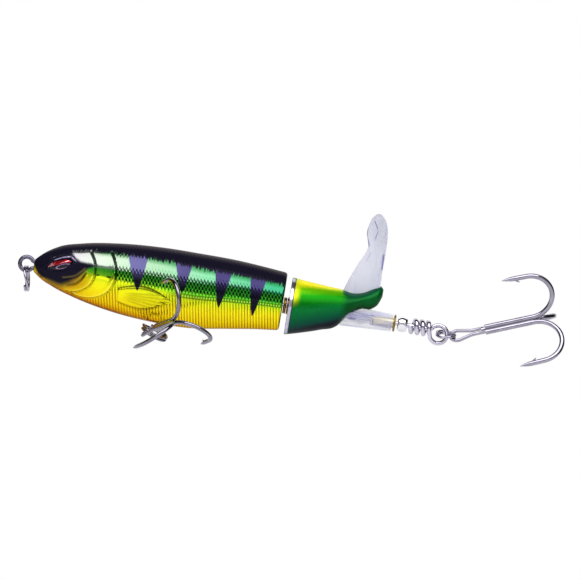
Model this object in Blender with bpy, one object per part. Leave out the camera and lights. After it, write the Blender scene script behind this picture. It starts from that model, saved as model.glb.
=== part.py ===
"""Topwater lure with a spinning one-blade tail, modelled as an assembly of separate pieces.

Metres, +Z up. The origin is the centre of the nose eye, where the line pulls. +X runs back along the axis
that the tail spins on, and -Y is the lure's left side.
"""

import math

import bmesh
import bpy
import numpy as np
from mathutils import Matrix, Vector

MM = 0.001
GAP = 0.3  # clearance between pieces that touch

# Body, in millimetres: place along X, top, bottom and half width of each section
BODY_STATIONS = (
    (2.0, 1.5, -1.7, 1.4),
    (4.0, 3.4, -3.2, 3.0),
    (8.0, 6.0, -5.1, 5.1),
    (14.0, 7.8, -7.0, 6.8),
    (24.0, 9.4, -9.1, 8.2),
    (36.0, 10.2, -10.2, 8.8),
    (46.0, 10.2, -10.2, 8.8),
    (56.0, 10.0, -8.8, 8.4),
    (64.0, 9.4, -7.6, 8.0),
    (69.2, 8.9, -7.0, 7.8),
)
BODY_REAR = 70.0
REAR_EDGE_INSET = 0.8
NOSE_RINGS, NOSE_END = (2.0, 2.3, 2.8), 3.6
BODY_RINGS = 32
BODY_SIDES = 32
WALL = 1.6
# First and last X of the two chambers; what is left between them and behind them carries the wire forms
FRONT_CHAMBER = (10.5, 31.0)
REAR_CHAMBER = (44.0, 57.0)
# The shelf that the rattle balls roll on, and the wall between the balls
SHELF_TOP, SHELF_THICK = -0.1, 1.4
DIVIDER = (20.6, 21.4)
PAST_BODY = 12.0  # reaches past the body's skin on every side
CHAMBER_RINGS = 6
CHAMBER_SIDES = 16

# Gill plates, arcs in the side view: centre X, centre Z, radius, first and last angle
GILL_ARCS = ((11.4, 1.0, 7.2, 31, -62), (15.3, 1.0, 8.9, 35, -58))
GROOVE_RADIUS = 0.38
GROOVE_POINTS = 12

# Pectoral fin in relief: root and tip in the side view, and its half heights
FIN_ROOT = (25.7, -4.3)
FIN_TIP = (40.6, -3.9)
FIN_ROOT_HALF = 1.5
FIN_BULGE = 1.9
FIN_RISE, FIN_ROOTED = 0.5, 0.7
FIN_TIP_HALF = 0.12

EYE_PLACE = (9.2, 1.1)
EYE_LONG, EYE_HIGH, EYE_DEEP = 3.5, 1.6, 1.3
EYE_TILT = 22
EYE_SUNK = 0.75

# Wire forms
NOSE_EYE_RADIUS, NOSE_EYE_WIRE = 1.9, 1.0
HANGER_PLACE = (38.4, -12.0)
HANGER_RADIUS, HANGER_WIRE = 1.75, 0.85
LEG_SPACING, LEG_BEND = 1.6, 0.4
# How far each form's legs reach past the middle of its loop, and how far their feet are bent out
NOSE_LEG_END, NOSE_FOOT = 8.5, 2.0
HANGER_LEG_END, HANGER_FOOT = 5.4, 1.9
RING_WIRE, RING_PITCH = 0.58, 1.0
RING_STEP_HALF = 38  # degrees each side of the step between a ring's two turns
LOOP_POINTS = 24

# Tail shaft: one wire from its foot in the body to the wrapped loop
SHAFT_WIRE = 1.2
SHAFT_FOOT = (61.5, 3.4)
SHAFT_BEND = 0.8
SHAFT_LOOP = (112.7, -1.1)
SHAFT_LOOP_RADIUS = 2.4
WRAP_RADIUS, WRAP_PITCH, WRAP_TURNS = 1.7, 1.7, 3
WRAP_START = 109.9

# Tail: place along X, bottom, top and half width of the cup and the foot behind it
TAIL_STATIONS = (
    (71.5, -7.85, 7.85, 7.85),
    (76.0, -6.6, 7.4, 7.0),
    (81.0, -5.0, 7.0, 6.0),
    (85.2, -3.3, 6.7, 5.2),
    (88.0, 0.1, 6.2, 4.7),
    (91.0, 2.3, 6.8, 4.2),
    (94.0, 2.9, 8.5, 3.6),
    (95.5, 4.5, 9.2, 2.6),
    (96.2, 6.3, 8.6, 1.2),
)
TAIL_RINGS = 18
TAIL_SIDES = 28
CUP_DEEP, CUP_WALL, BOSS_RADIUS = 3.0, 1.3, 2.6
SLEEVE_START, SLEEVE_END = 84.0, 99.9
SLEEVE_ROOT_RADIUS, SLEEVE_RADIUS = 3.05, 2.4
BORE_RADIUS, BUSH_RADIUS, BUSH_BORE = 1.05, 1.4, 0.9
BUSH_FLANGE_RADIUS, BUSH_FLANGE_THICK = 2.3, 0.6
REAR_BUSH_START, FRONT_BUSH_END = 94.2, 77.0
# Blade: height, leading edge X, trailing edge X, pitch in degrees, thickness
BLADE_STATIONS = (
    (4.6, 86.2, 95.0, 16, 1.7),
    (9.6, 86.7, 95.2, 20, 1.5),
    (14.0, 88.2, 95.1, 26, 1.35),
    (19.4, 90.3, 95.2, 34, 1.2),
    (22.8, 89.4, 95.0, 42, 1.1),
    (25.6, 89.7, 94.4, 46, 1.0),
    (27.4, 90.4, 93.5, 48, 0.9),
    (28.4, 91.3, 92.5, 48, 0.8),
)
BLADE_RINGS = 15
BLADE_CAMBER = 0.14
BLADE_SPAN_POINTS = 7

BEAD_RADIUS, BEAD_START, BEAD_END = 2.1, 101.4, 104.0
WASHER_RADIUS, WASHER_START, WASHER_END = 2.2, 70.35, 70.85

# Swinging rings: centre, middle radius, direction to the carrier, and normal
LINE_RING = ((0.62, 0.0, -3.95), 3.25)
LINE_RING_LEAN = 9.2
BELLY_RING = ((37.1, -3.0, -12.7), 3.55)
BELLY_RING_NORMAL = (0.36, -0.23, 0.90)
TAIL_RING = ((114.78, 0.0, -0.9), 2.5)

# Treble hooks in the plane of one hook, for the rear one: along the shank and away from it
HOOK_WIRE = 1.3
HOOK_SHANK_OFFSET = 0.8
HOOK_SHANK_START, HOOK_SHANK_MIDDLE = 7.6, 13.0
HOOK_BEND = (20.9, 7.05)
HOOK_TIP = (14.3, 13.5)
# The eye is a long loop: a round end that holds the ring, and two legs that run together into the shank
HOOK_EYE_WIRE = 0.7
HOOK_EYE_END, HOOK_EYE_END_HALF = 8.4, 0.4
HOOK_CORE = 1.2
BELLY_HOOK_SCALE = 0.84
BELLY_HOOK_EYE = (35.2, -6.0, -12.85)
BELLY_HOOK_EYE_AXIS = (0.735, 0.16, -0.66)
BELLY_HOOK_EYE_SIZE = (1.75, 1.55)
BELLY_HOOK_SHANK = (0.40, -0.89, 0.23)
BELLY_HOOK_ROLL = 73
TAIL_HOOK_EYE = (117.9, 0.0, -0.6)
TAIL_HOOK_EYE_SIZE = (1.8, 1.5)
TAIL_HOOK_RISE = 21.2
TAIL_HOOK_ROLL = 63

# Ballast slugs: place along X, height and radius
SLUG_LENGTH = 9.0
CRADLE_WALL, CRADLE_DEEP, CRADLE_LIP = 0.9, 5.5, 0.4
SLUGS = {"front_ballast_slug": (22.0, -3.9, 2.0), "rear_ballast_slug": (50.5, -4.6, 2.4)}
BALL_RADIUS = 2.4
BALL_PLACES = {"front_rattle_ball": 16.4, "rear_rattle_ball": 26.0}

for old in list(bpy.data.objects):
    bpy.data.objects.remove(old, do_unlink=True)


def material(name, colour, roughness, metallic=0.0):
    made = bpy.data.materials.new(name)
    made.use_nodes = True
    shader = made.node_tree.nodes["Principled BSDF"]
    shader.inputs["Base Color"].default_value = (*colour, 1.0)
    shader.inputs["Roughness"].default_value = roughness
    shader.inputs["Metallic"].default_value = metallic
    return made


PAINT_GREEN = material("painted_green_plastic", (0.05, 0.32, 0.05), 0.25)
PAINT_TAIL = material("tail_plastic", (0.10, 0.45, 0.06), 0.3)
EYE_RED = material("eye_lens", (0.45, 0.02, 0.02), 0.1)
STEEL = material("tinned_steel", (0.75, 0.75, 0.78), 0.22, 1.0)
HOOK_STEEL = material("black_nickel_steel", (0.30, 0.30, 0.33), 0.25, 1.0)
CHROME = material("chrome", (0.85, 0.85, 0.87), 0.08, 1.0)
BRASS = material("brass", (0.80, 0.58, 0.22), 0.25, 1.0)
DARK_STEEL = material("ballast_steel", (0.35, 0.35, 0.36), 0.4, 1.0)


def smooth_through(stations, column, x):
    """Value at x of a smooth curve through one column of the stations."""
    xs = np.array([station[0] for station in stations])
    ys = np.array([station[column] for station in stations])
    slopes = np.gradient(ys, xs)
    i = int(np.clip(np.searchsorted(xs, x) - 1, 0, len(xs) - 2))
    step = xs[i + 1] - xs[i]
    t = (x - xs[i]) / step
    start = (1 + 2 * t) * (1 - t) ** 2 * ys[i] + t * (1 - t) ** 2 * step * slopes[i]
    return start + t * t * (3 - 2 * t) * ys[i + 1] + t * t * (t - 1) * step * slopes[i + 1]


def body_section(x):
    """Middle height, half height and half width of the body at x."""
    top = smooth_through(BODY_STATIONS, 1, x)
    bottom = smooth_through(BODY_STATIONS, 2, x)
    return (top + bottom) / 2, (top - bottom) / 2, smooth_through(BODY_STATIONS, 3, x)


def body_side(x, z):
    """Half width of the body at x and height z."""
    middle, half_height, half_width = body_section(x)
    return half_width * math.sqrt(max(0.0, 1 - ((z - middle) / half_height) ** 2))


def add_object(name, data, finish=None):
    made = bpy.data.objects.new(name, data)
    bpy.context.scene.collection.objects.link(made)
    if finish:
        data.materials.append(finish)
    return made


def helper(made):
    """Marks a cutter, which is left out of the part."""
    made.hide_render = True
    made.display_type = "WIRE"
    return made


def mesh_from(bm, name, finish=None, sharp=40):
    bmesh.ops.recalc_face_normals(bm, faces=bm.faces)
    mesh = bpy.data.meshes.new(name)
    bm.to_mesh(mesh)
    bm.free()
    mesh.shade_smooth()
    mesh.set_sharp_from_angle(angle=math.radians(sharp))
    return add_object(name, mesh, finish)


def loft(name, rings, finish=None):
    """A closed skin through rings of points, in millimetres, with its ends capped."""
    bm = bmesh.new()
    made = [[bm.verts.new(Vector(point) * MM) for point in ring] for ring in rings]
    for ring, after in zip(made, made[1:]):
        for i in range(len(ring)):
            j = (i + 1) % len(ring)
            bm.faces.new((ring[i], ring[j], after[j], after[i]))
    bm.faces.new(made[0])
    bm.faces.new(list(reversed(made[-1])))
    return mesh_from(bm, name, finish)


def ellipse(x, middle, half_height, half_width, sides):
    angles = [2 * math.pi * (i + 0.5) / sides for i in range(sides)]
    return [(x, half_width * math.cos(a), middle + half_height * math.sin(a)) for a in angles]


def turned(name, profile, finish=None, sides=24, middle=(0.0, 0.0)):
    """A solid turned about an axis along X, from its outline of place and radius."""
    angles = [2 * math.pi * i / sides for i in range(sides)]
    y, z = middle
    rings = [[(x, y + r * math.cos(a), z + r * math.sin(a)) for a in angles] for x, r in profile]
    return loft(name, rings, finish)


def box(name, low, high):
    bm = bmesh.new()
    bmesh.ops.create_cube(bm, size=1.0)
    size = (Vector(high) - Vector(low)) * MM
    bmesh.ops.transform(bm, matrix=Matrix.Diagonal((*size, 1.0)), verts=bm.verts)
    bmesh.ops.translate(bm, vec=(Vector(low) + Vector(high)) * MM / 2, verts=bm.verts)
    return helper(mesh_from(bm, name))


def ball(name, centre, radii, finish=None, tilt=0.0, segments=16, rings=8):
    """An ellipsoid, turned about Y."""
    bm = bmesh.new()
    bmesh.ops.create_uvsphere(bm, u_segments=segments, v_segments=rings, radius=1.0)
    size = Matrix.Diagonal((*(Vector(radii) * MM), 1.0))
    turn = Matrix.Rotation(math.radians(-tilt), 4, "Y")
    place = Matrix.Translation(Vector(centre) * MM)
    bmesh.ops.transform(bm, matrix=place @ turn @ size, verts=bm.verts)
    return mesh_from(bm, name, finish)


def wire(name, points, diameter, finish=None, radii=None, closed=False, sides=8):
    """A round wire through points in millimetres, as a bevelled curve."""
    curve = bpy.data.curves.new(name, "CURVE")
    curve.dimensions = "3D"
    curve.bevel_depth = diameter / 2 * MM
    curve.bevel_resolution = (sides - 4) // 2
    curve.use_fill_caps = True
    spline = curve.splines.new("POLY")
    spline.points.add(len(points) - 1)
    for i, point in enumerate(points):
        spline.points[i].co = (*(Vector(point) * MM), 1.0)
        spline.points[i].radius = radii[i] if radii else 1.0
    spline.use_cyclic_u = closed
    spline.use_smooth = True
    return add_object(name, curve, finish)


def as_mesh(made):
    """The curve object's tube as a welded mesh object of the same name."""
    bpy.context.view_layer.update()
    graph = bpy.context.evaluated_depsgraph_get()
    name = made.name
    bm = bmesh.new()
    bm.from_mesh(made.evaluated_get(graph).to_mesh())
    bmesh.ops.remove_doubles(bm, verts=bm.verts, dist=1e-6)
    bpy.data.objects.remove(made, do_unlink=True)
    return mesh_from(bm, name)


def boolean(target, other, operation):
    change = target.modifiers.new(f"{operation.lower()}_{other.name}", "BOOLEAN")
    change.operation = operation
    change.solver = "EXACT"
    change.object = helper(other)


def origin_at(made, point):
    """Puts the object's origin on its joint without moving the piece."""
    place = Vector(point) * MM
    made.data.transform(Matrix.Translation(-place))
    made.location = place


def least_gap(points, diameter):
    """The smallest gap between stretches of one wire that aren't neighbours along it."""
    path = np.array(points)
    along = np.concatenate([[0], np.cumsum(np.linalg.norm(np.diff(path, axis=0), axis=1))])
    apart = np.linalg.norm(path[:, None] - path[None], axis=2)
    far = np.abs(along[:, None] - along[None]) > 4 * diameter
    return float(apart[far].min() - diameter)


def arc(centre, radius, first, last, count):
    angles = np.radians(np.linspace(first, last, count))
    return [(centre[0] + radius * math.cos(a), centre[1] + radius * math.sin(a)) for a in angles]


# Body shells
def body_solid(name):
    xs = [*NOSE_RINGS, *np.linspace(NOSE_END, BODY_STATIONS[-1][0], BODY_RINGS)]
    rings = []
    for x in xs:
        middle, half_height, half_width = body_section(x)
        rings.append(ellipse(x, middle, half_height, half_width, BODY_SIDES))
    middle, half_height, half_width = body_section(BODY_STATIONS[-1][0])
    rear = (half_height - REAR_EDGE_INSET, half_width - REAR_EDGE_INSET)
    rings.append(ellipse(BODY_REAR, middle, *rear, BODY_SIDES))
    return loft(name, rings, PAINT_GREEN)


def chamber(name, first, last):
    rings = []
    for x in np.linspace(first, last, CHAMBER_RINGS):
        middle, half_height, half_width = body_section(x)
        rings.append(ellipse(x, middle, half_height - WALL, half_width - WALL, CHAMBER_SIDES))
    return helper(loft(name, rings))


def cradle(name, x, z, radius):
    """A block under a ballast slug with a trough that the slug lies in."""
    half = SLUG_LENGTH / 2 + GAP
    long, wide = half + CRADLE_WALL, radius + CRADLE_WALL
    block = box(name, (x - long, -wide, z - CRADLE_DEEP), (x + long, wide, z - CRADLE_LIP))
    trough = turned(f"{name}_trough", ((x - half, radius + GAP), (x + half, radius + GAP)), middle=(0.0, z))
    boolean(block, trough, "DIFFERENCE")
    return block


def gill_groove(name, side, centre_x, centre_z, radius, first, last):
    line = arc((centre_x, centre_z), radius, first, last, GROOVE_POINTS)
    points = [(x, side * body_side(x, z), z) for x, z in line]
    return helper(as_mesh(wire(name, points, 2 * GROOVE_RADIUS, sides=6)))


def pectoral_fin(name, side):
    """A leaf that stands proud of the flank, widest behind its root and pointed at its tip."""
    rings = []
    across = np.linspace(-1, 1, 7)
    for t in np.linspace(0.0, 1.0, 9):
        x = FIN_ROOT[0] + t * (FIN_TIP[0] - FIN_ROOT[0])
        middle = FIN_ROOT[1] + t * (FIN_TIP[1] - FIN_ROOT[1])
        half = FIN_ROOT_HALF * (1 - t) + FIN_BULGE * math.sin(math.pi * t) + FIN_TIP_HALF
        rise = FIN_RISE * (1 - 0.5 * t)
        outer = []
        inner = []
        for v in across:
            z = middle + v * half
            y = body_side(x, z)
            outer.append((x, side * (y + rise * (1 - 0.6 * v * v)), z))
            inner.append((x, side * (y - FIN_ROOTED), z))
        rings.append(outer + inner[::-1])
    return loft(name, rings)


def eye_ball(name, side, grow=0.0, finish=None):
    x, z = EYE_PLACE
    centre = (x, side * (body_side(x, z) - EYE_SUNK), z)
    radii = (EYE_LONG + grow, EYE_DEEP + grow, EYE_HIGH + grow)
    return ball(name, centre, radii, finish, EYE_TILT)


def shell_cutters():
    """Everything that both shells are cut by: chambers, and seats for the wire forms."""
    seat = SHAFT_WIRE / 2 + GAP
    foot_x, foot_z = SHAFT_FOOT
    hanger_x, hanger_z = HANGER_PLACE
    hanger_seat = LEG_SPACING / 2 + HANGER_WIRE / 2 + GAP
    eye_seat = NOSE_EYE_RADIUS + NOSE_EYE_WIRE / 2 + GAP
    legs = (NOSE_EYE_WIRE + LEG_SPACING) / 2 + GAP
    front = chamber("front_chamber", *FRONT_CHAMBER)
    rear = chamber("rear_chamber", *REAR_CHAMBER)
    shelf_ends = (FRONT_CHAMBER[0] - 1, FRONT_CHAMBER[1] + 1)
    shelf_low = SHELF_TOP - SHELF_THICK
    shelf = box("shelf", (shelf_ends[0], -PAST_BODY, shelf_low), (shelf_ends[1], PAST_BODY, SHELF_TOP))
    boolean(front, shelf, "DIFFERENCE")
    divider_foot = (DIVIDER[0], -PAST_BODY, SHELF_TOP - WALL / 2)
    divider = box("divider", divider_foot, (DIVIDER[1], PAST_BODY, PAST_BODY))
    boolean(front, divider, "DIFFERENCE")
    for chamber_cut, name in ((front, "front_ballast_slug"), (rear, "rear_ballast_slug")):
        boolean(chamber_cut, cradle(f"{name}_cradle", *SLUGS[name]), "DIFFERENCE")
    cutters = [front, rear]
    bm = bmesh.new()
    side = NOSE_EYE_WIRE + 2 * GAP
    turn = Matrix.Rotation(math.pi / 2, 4, "X")
    slot = {"radius1": eye_seat * MM, "radius2": eye_seat * MM, "depth": side * MM}
    bmesh.ops.create_cone(bm, cap_ends=True, segments=24, matrix=turn, **slot)
    cutters.append(helper(mesh_from(bm, "nose_slot")))
    half = side / 2
    nose_end = NOSE_LEG_END + NOSE_EYE_WIRE / 2 + 2 * GAP
    nose_foot = LEG_SPACING / 2 + NOSE_FOOT + 2 * GAP
    cutters.append(box("nose_leg_seat", (NOSE_EYE_WIRE, -half, -legs), (nose_end, half, legs)))
    foot_start = NOSE_LEG_END - NOSE_EYE_WIRE / 2 - 2 * GAP
    cutters.append(box("nose_foot_seat", (foot_start, -half, -nose_foot), (nose_end, half, nose_foot)))
    wide = HANGER_WIRE / 2 + GAP
    low, high = (hanger_z + HANGER_LEG_END + way * (wide + GAP) for way in (-1, 1))
    foot_half = LEG_SPACING / 2 + HANGER_FOOT + 2 * GAP
    legs_low = (hanger_x - wide, -hanger_seat, hanger_z)
    cutters.append(box("hanger_leg_seat", legs_low, (hanger_x + wide, hanger_seat, high)))
    feet_low = (hanger_x - wide, -foot_half, low)
    cutters.append(box("hanger_foot_seat", feet_low, (hanger_x + wide, foot_half, high)))
    cutters.append(helper(turned("shaft_seat", ((foot_x - 1, seat), (BODY_REAR + 1, seat)), sides=12)))
    foot_top = foot_z + 2 * GAP
    cutters.append(box("shaft_foot_seat", (foot_x - seat, -seat, -seat), (foot_x + seat, seat, foot_top)))
    return cutters


def body_shells():
    cutters = shell_cutters()
    for name, side in (("left_body_shell", -1), ("right_body_shell", 1)):
        shell = body_solid(name)
        fin = pectoral_fin(f"{name}_fin", side)
        boolean(shell, fin, "UNION")
        low, high = sorted((-side * 30, side * GAP / 2))
        far_half = box(f"{name}_half", (-PAST_BODY, low, -30), (BODY_REAR + PAST_BODY, high, 30))
        boolean(shell, far_half, "DIFFERENCE")
        for cutter in cutters:
            boolean(shell, cutter, "DIFFERENCE")
        boolean(shell, eye_ball(f"{name}_socket", side, GAP), "DIFFERENCE")
        for i, gill in enumerate(GILL_ARCS):
            boolean(shell, gill_groove(f"{name}_gill_{i}", side, *gill), "DIFFERENCE")
    eye_ball("left_eye", -1, finish=EYE_RED)
    eye_ball("right_eye", 1, finish=EYE_RED)


# Wire forms of the body
def omega(radius, leg_end, foot):
    """A loop about the origin with two legs along +u that end in feet bent apart, in its own plane."""
    leg = LEG_SPACING / 2
    opening = math.degrees(math.asin(leg / radius))
    loop = arc((0, 0), radius, opening + 8, 352 - opening, LOOP_POINTS)
    start = [(leg_end, leg + foot), (leg_end, leg + LEG_BEND), (leg_end - LEG_BEND, leg), (radius + GAP, leg)]
    return start + loop + [(u, -v) for u, v in reversed(start)]


def body_wires():
    line = omega(NOSE_EYE_RADIUS, NOSE_LEG_END, NOSE_FOOT)
    nose = [(u, 0.0, v) for u, v in line]
    wire("nose_eye", nose, NOSE_EYE_WIRE, STEEL)
    x, z = HANGER_PLACE
    hanger = [(x, v, z + u) for u, v in omega(HANGER_RADIUS, HANGER_LEG_END, HANGER_FOOT)]
    wire("belly_hanger", hanger, HANGER_WIRE, STEEL, sides=6)


# Split rings and hooks
def split_ring(name, centre, radius, toward, normal, pivot):
    """Two turns of one wire side by side, with the step between them away from the carrier."""
    axis = Vector(normal).normalized()
    out = Vector(toward)
    out = (out - axis * out.dot(axis)).normalized()
    across = axis.cross(out)
    points = []
    for degrees in np.arange(RING_STEP_HALF, 720 - RING_STEP_HALF + 1e-6, 360 / LOOP_POINTS).tolist():
        t = min(1.0, max(0.0, (degrees - 360 + RING_STEP_HALF) / (2 * RING_STEP_HALF)))
        shift = RING_PITCH * (t * t * (3 - 2 * t) - 0.5)
        a = math.radians(degrees + 90)
        points.append(Vector(centre) + radius * (math.cos(a) * out + math.sin(a) * across) + shift * axis)
    wire(name, points, RING_WIRE, CHROME, sides=6)
    origin_at(bpy.data.objects[name], pivot)
    print(f"{name}: least gap to itself {least_gap(points, RING_WIRE):.2f} mm")


def hook_line(scale):
    """One hook of a treble in its own plane: shank, round bend and straight point."""
    bend_s, bend_r = HOOK_BEND
    radius = bend_r - HOOK_SHANK_OFFSET
    line = [(HOOK_SHANK_START, HOOK_SHANK_OFFSET), (HOOK_SHANK_MIDDLE, HOOK_SHANK_OFFSET)]
    line += arc(HOOK_BEND, radius, -90, 92, 15)
    last = Vector(line[-1])
    tip = Vector(HOOK_TIP)
    line += [tuple(last.lerp(tip, t)) for t in (0.35, 0.6, 1.0)]
    radii = [1.0] * (len(line) - 3) + [1.0, 0.9, 0.12]
    return [(s * scale, r * scale) for s, r in line], radii


def square_to(vector, along):
    vector = Vector(vector)
    return (vector - along * vector.dot(along)).normalized()


def treble(name, eye, shank, roll_from, roll, scale, eye_axis, eye_size):
    """Three hooks brazed along one shank, with an eye; roll turns the first hook away from roll_from."""
    along = Vector(shank).normalized()
    side = square_to(roll_from, along)
    up = side.cross(along)
    start = Vector(eye)
    diameter = HOOK_WIRE * scale
    line, radii = hook_line(scale)
    pieces = []
    for i in range(3):
        a = math.radians(roll + 120 * i)
        out = math.cos(a) * side + math.sin(a) * up
        points = [start + s * along + r * out for s, r in line]
        pieces.append(as_mesh(wire(f"{name}_hook_{i}", points, diameter, radii=radii)))
        tip, before = points[-1], points[-3]
        point_way = (tip - before).normalized()
        lifted = before.lerp(tip, 0.12) - diameter * (0.75 * out + 0.6 * point_way)
        barb = [before.lerp(tip, 0.25), lifted]
        pieces.append(as_mesh(wire(f"{name}_barb_{i}", barb, diameter * 0.7, radii=[1.0, 0.15], sides=6)))
    long, wide = eye_size
    across = square_to(eye_axis, along).cross(along)
    outline = [(HOOK_EYE_END * scale, HOOK_EYE_END_HALF)]
    outline += [(long * math.cos(a), wide * math.sin(a)) for a in np.radians(np.linspace(80, 280, 13))]
    outline += [(HOOK_EYE_END * scale, -HOOK_EYE_END_HALF)]
    loop = [start + u * along + v * across for u, v in outline]
    pieces.append(as_mesh(wire(f"{name}_eye", loop, HOOK_EYE_WIRE)))
    core = [start + (HOOK_SHANK_START - HOOK_CORE / 2) * scale * along, start + HOOK_BEND[0] * scale * along]
    pieces.append(as_mesh(wire(f"{name}_core", core, HOOK_CORE * scale, sides=10)))
    whole = pieces[0]
    whole.name = name
    whole.data.materials.append(HOOK_STEEL)
    for piece in pieces[1:]:
        boolean(whole, piece, "UNION")
    origin_at(whole, eye)


# Tail
def tail_section(x, shrink=0.0):
    bottom = smooth_through(TAIL_STATIONS, 1, x)
    top = smooth_through(TAIL_STATIONS, 2, x)
    half_width = smooth_through(TAIL_STATIONS, 3, x)
    return ellipse(x, (top + bottom) / 2, (top - bottom) / 2 - shrink, half_width - shrink, TAIL_SIDES)


def blade_section(z):
    """One closed ring round the blade: leading edge, near face, trailing edge, far face."""
    lead, trail, pitch, thick = (smooth_through(BLADE_STATIONS, i, z) for i in range(1, 5))
    middle = (lead + trail) / 2
    half = (trail - lead) / 2
    slope = math.tan(math.radians(pitch))
    near = []
    far = []
    for t in np.linspace(-1, 1, BLADE_SPAN_POINTS):
        y = -slope * t * half + BLADE_CAMBER * half * 2 * (1 - t * t)
        depth = thick / 2 * math.sqrt(1 - 0.9 * t * t)
        near.append((middle + t * half, y - depth, z))
        far.append((middle + t * half, y + depth, z))
    return near + far[::-1]


def spinning_tail():
    front = TAIL_STATIONS[0][0]
    rings = [tail_section(x) for x in np.linspace(front, TAIL_STATIONS[-1][0], TAIL_RINGS)]
    tail = loft("spinning_tail", rings, PAINT_TAIL)
    sleeve = turned("sleeve", ((SLEEVE_START, SLEEVE_ROOT_RADIUS), (SLEEVE_END, SLEEVE_RADIUS)), sides=20)
    boolean(tail, sleeve, "UNION")
    heights = np.linspace(BLADE_STATIONS[0][0], BLADE_STATIONS[-1][0], BLADE_RINGS)
    boolean(tail, loft("blade", [blade_section(z) for z in heights]), "UNION")
    boss_start = front + 0.5
    cup_end = front + CUP_DEEP
    cup = loft("cup", [tail_section(x, CUP_WALL) for x in (front - 1, front, cup_end)])
    boss = turned("boss", ((boss_start, BOSS_RADIUS), (cup_end + 1, BOSS_RADIUS)))
    boolean(cup, boss, "DIFFERENCE")
    boolean(tail, cup, "DIFFERENCE")
    seat = BUSH_RADIUS + GAP
    rear = REAR_BUSH_START - GAP
    bore = (
        (boss_start - 1, seat),
        (FRONT_BUSH_END + GAP, seat),
        (FRONT_BUSH_END + GAP + 0.01, BORE_RADIUS),
        (rear - 0.01, BORE_RADIUS),
        (rear, seat),
        (SLEEVE_END + 1, seat),
    )
    boolean(tail, turned("tail_bore", bore, sides=16), "DIFFERENCE")
    origin_at(tail, (front, 0, 0))


def bush(name, flange_first, flange_last, barrel_end):
    """A flanged tube on the shaft, its flange outside the moulding."""
    hole = BUSH_BORE
    outline = [(flange_first, BUSH_FLANGE_RADIUS), (flange_last, BUSH_FLANGE_RADIUS)]
    step = math.copysign(0.01, barrel_end - flange_last)
    outline += [(flange_last + step, BUSH_RADIUS), (barrel_end, BUSH_RADIUS)]
    made = turned(name, outline, BRASS, sides=20)
    ends = sorted((flange_first, barrel_end))
    boolean(made, turned(f"{name}_hole", ((ends[0] - 1, hole), (ends[1] + 1, hole)), sides=16), "DIFFERENCE")
    origin_at(made, (flange_first, 0, 0))


def on_shaft(name, outline, finish, pivot_x):
    """A turned piece that the shaft passes through."""
    made = turned(name, outline, finish, sides=20)
    ends = (outline[0][0] - 1, outline[-1][0] + 1)
    boolean(made, turned(f"{name}_hole", [(x, BUSH_BORE) for x in ends], sides=16), "DIFFERENCE")
    origin_at(made, (pivot_x, 0, 0))


def shaft():
    foot_x, foot_z = SHAFT_FOOT
    loop_x, loop_z = SHAFT_LOOP
    points = [(foot_x, 0, foot_z)]
    points += [(x, 0, z) for x, z in arc((foot_x + SHAFT_BEND, SHAFT_BEND), SHAFT_BEND, 180, 270, 4)]
    points += [(x, 0, 0) for x in np.linspace(BODY_REAR, WRAP_START, 4)]
    for x, z in arc(SHAFT_LOOP, SHAFT_LOOP_RADIUS, 150, -150, LOOP_POINTS):
        points.append((x, -0.25 * max(0.0, loop_x - x) * (z < loop_z), z))
    for turn in np.linspace(-0.1, WRAP_TURNS, int(WRAP_TURNS * LOOP_POINTS) + 3):
        a = 2 * math.pi * turn
        x = WRAP_START + 0.1 - WRAP_PITCH * turn
        points.append((x, -WRAP_RADIUS * math.cos(a), WRAP_RADIUS * math.sin(a)))
    wire("tail_shaft", points, SHAFT_WIRE, STEEL, sides=6)
    print(f"tail_shaft: least gap to itself {least_gap(points, SHAFT_WIRE):.2f} mm")


def bead_outline():
    middle = (BEAD_START + BEAD_END) / 2
    half = (BEAD_END - BEAD_START) / 2
    angles = np.linspace(-1, 1, 7) * math.asin(half / BEAD_RADIUS)
    return [(middle + BEAD_RADIUS * math.sin(a), BEAD_RADIUS * math.cos(a)) for a in angles]


# Pieces inside the body
def inner_pieces():
    for name, (x, z, radius) in SLUGS.items():
        half = SLUG_LENGTH / 2
        edge = 0.5
        outline = (
            (x - half, radius - edge),
            (x - half + edge, radius),
            (x + half - edge, radius),
            (x + half, radius - edge),
        )
        turned(name, outline, DARK_STEEL, sides=20, middle=(0.0, z))
    z = SHELF_TOP + GAP + BALL_RADIUS
    for name, x in BALL_PLACES.items():
        made = ball(name, (x, 0.0, z), (BALL_RADIUS,) * 3, CHROME)
        origin_at(made, (x, 0.0, z))


body_shells()
body_wires()
lean = math.radians(LINE_RING_LEAN)
up_to_eye = (-math.sin(lean), 0, math.cos(lean))
split_ring("line_tie_ring", *LINE_RING, up_to_eye, (math.cos(lean), 0, math.sin(lean)), (0, 0, 0))
hanger_hole = Vector((HANGER_PLACE[0], 0, HANGER_PLACE[1]))
to_hanger = hanger_hole - Vector(BELLY_RING[0])
split_ring("belly_split_ring", *BELLY_RING, to_hanger, BELLY_RING_NORMAL, hanger_hole)
treble(
    "belly_treble_hook",
    BELLY_HOOK_EYE,
    BELLY_HOOK_SHANK,
    (-1, 0, 0),
    BELLY_HOOK_ROLL,
    BELLY_HOOK_SCALE,
    BELLY_HOOK_EYE_AXIS,
    BELLY_HOOK_EYE_SIZE,
)
spinning_tail()
front_face = TAIL_STATIONS[0][0]
bush("front_tail_bush", front_face - 0.4, front_face - 0.4 + BUSH_FLANGE_THICK, FRONT_BUSH_END)
rear_face = SLEEVE_END + GAP
bush("rear_tail_bush", rear_face + BUSH_FLANGE_THICK, rear_face, REAR_BUSH_START)
on_shaft("thrust_bead", bead_outline(), CHROME, BEAD_START)
washer = ((WASHER_START, WASHER_RADIUS), (WASHER_END, WASHER_RADIUS))
on_shaft("thrust_washer", washer, BRASS, WASHER_START)
shaft()
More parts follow.
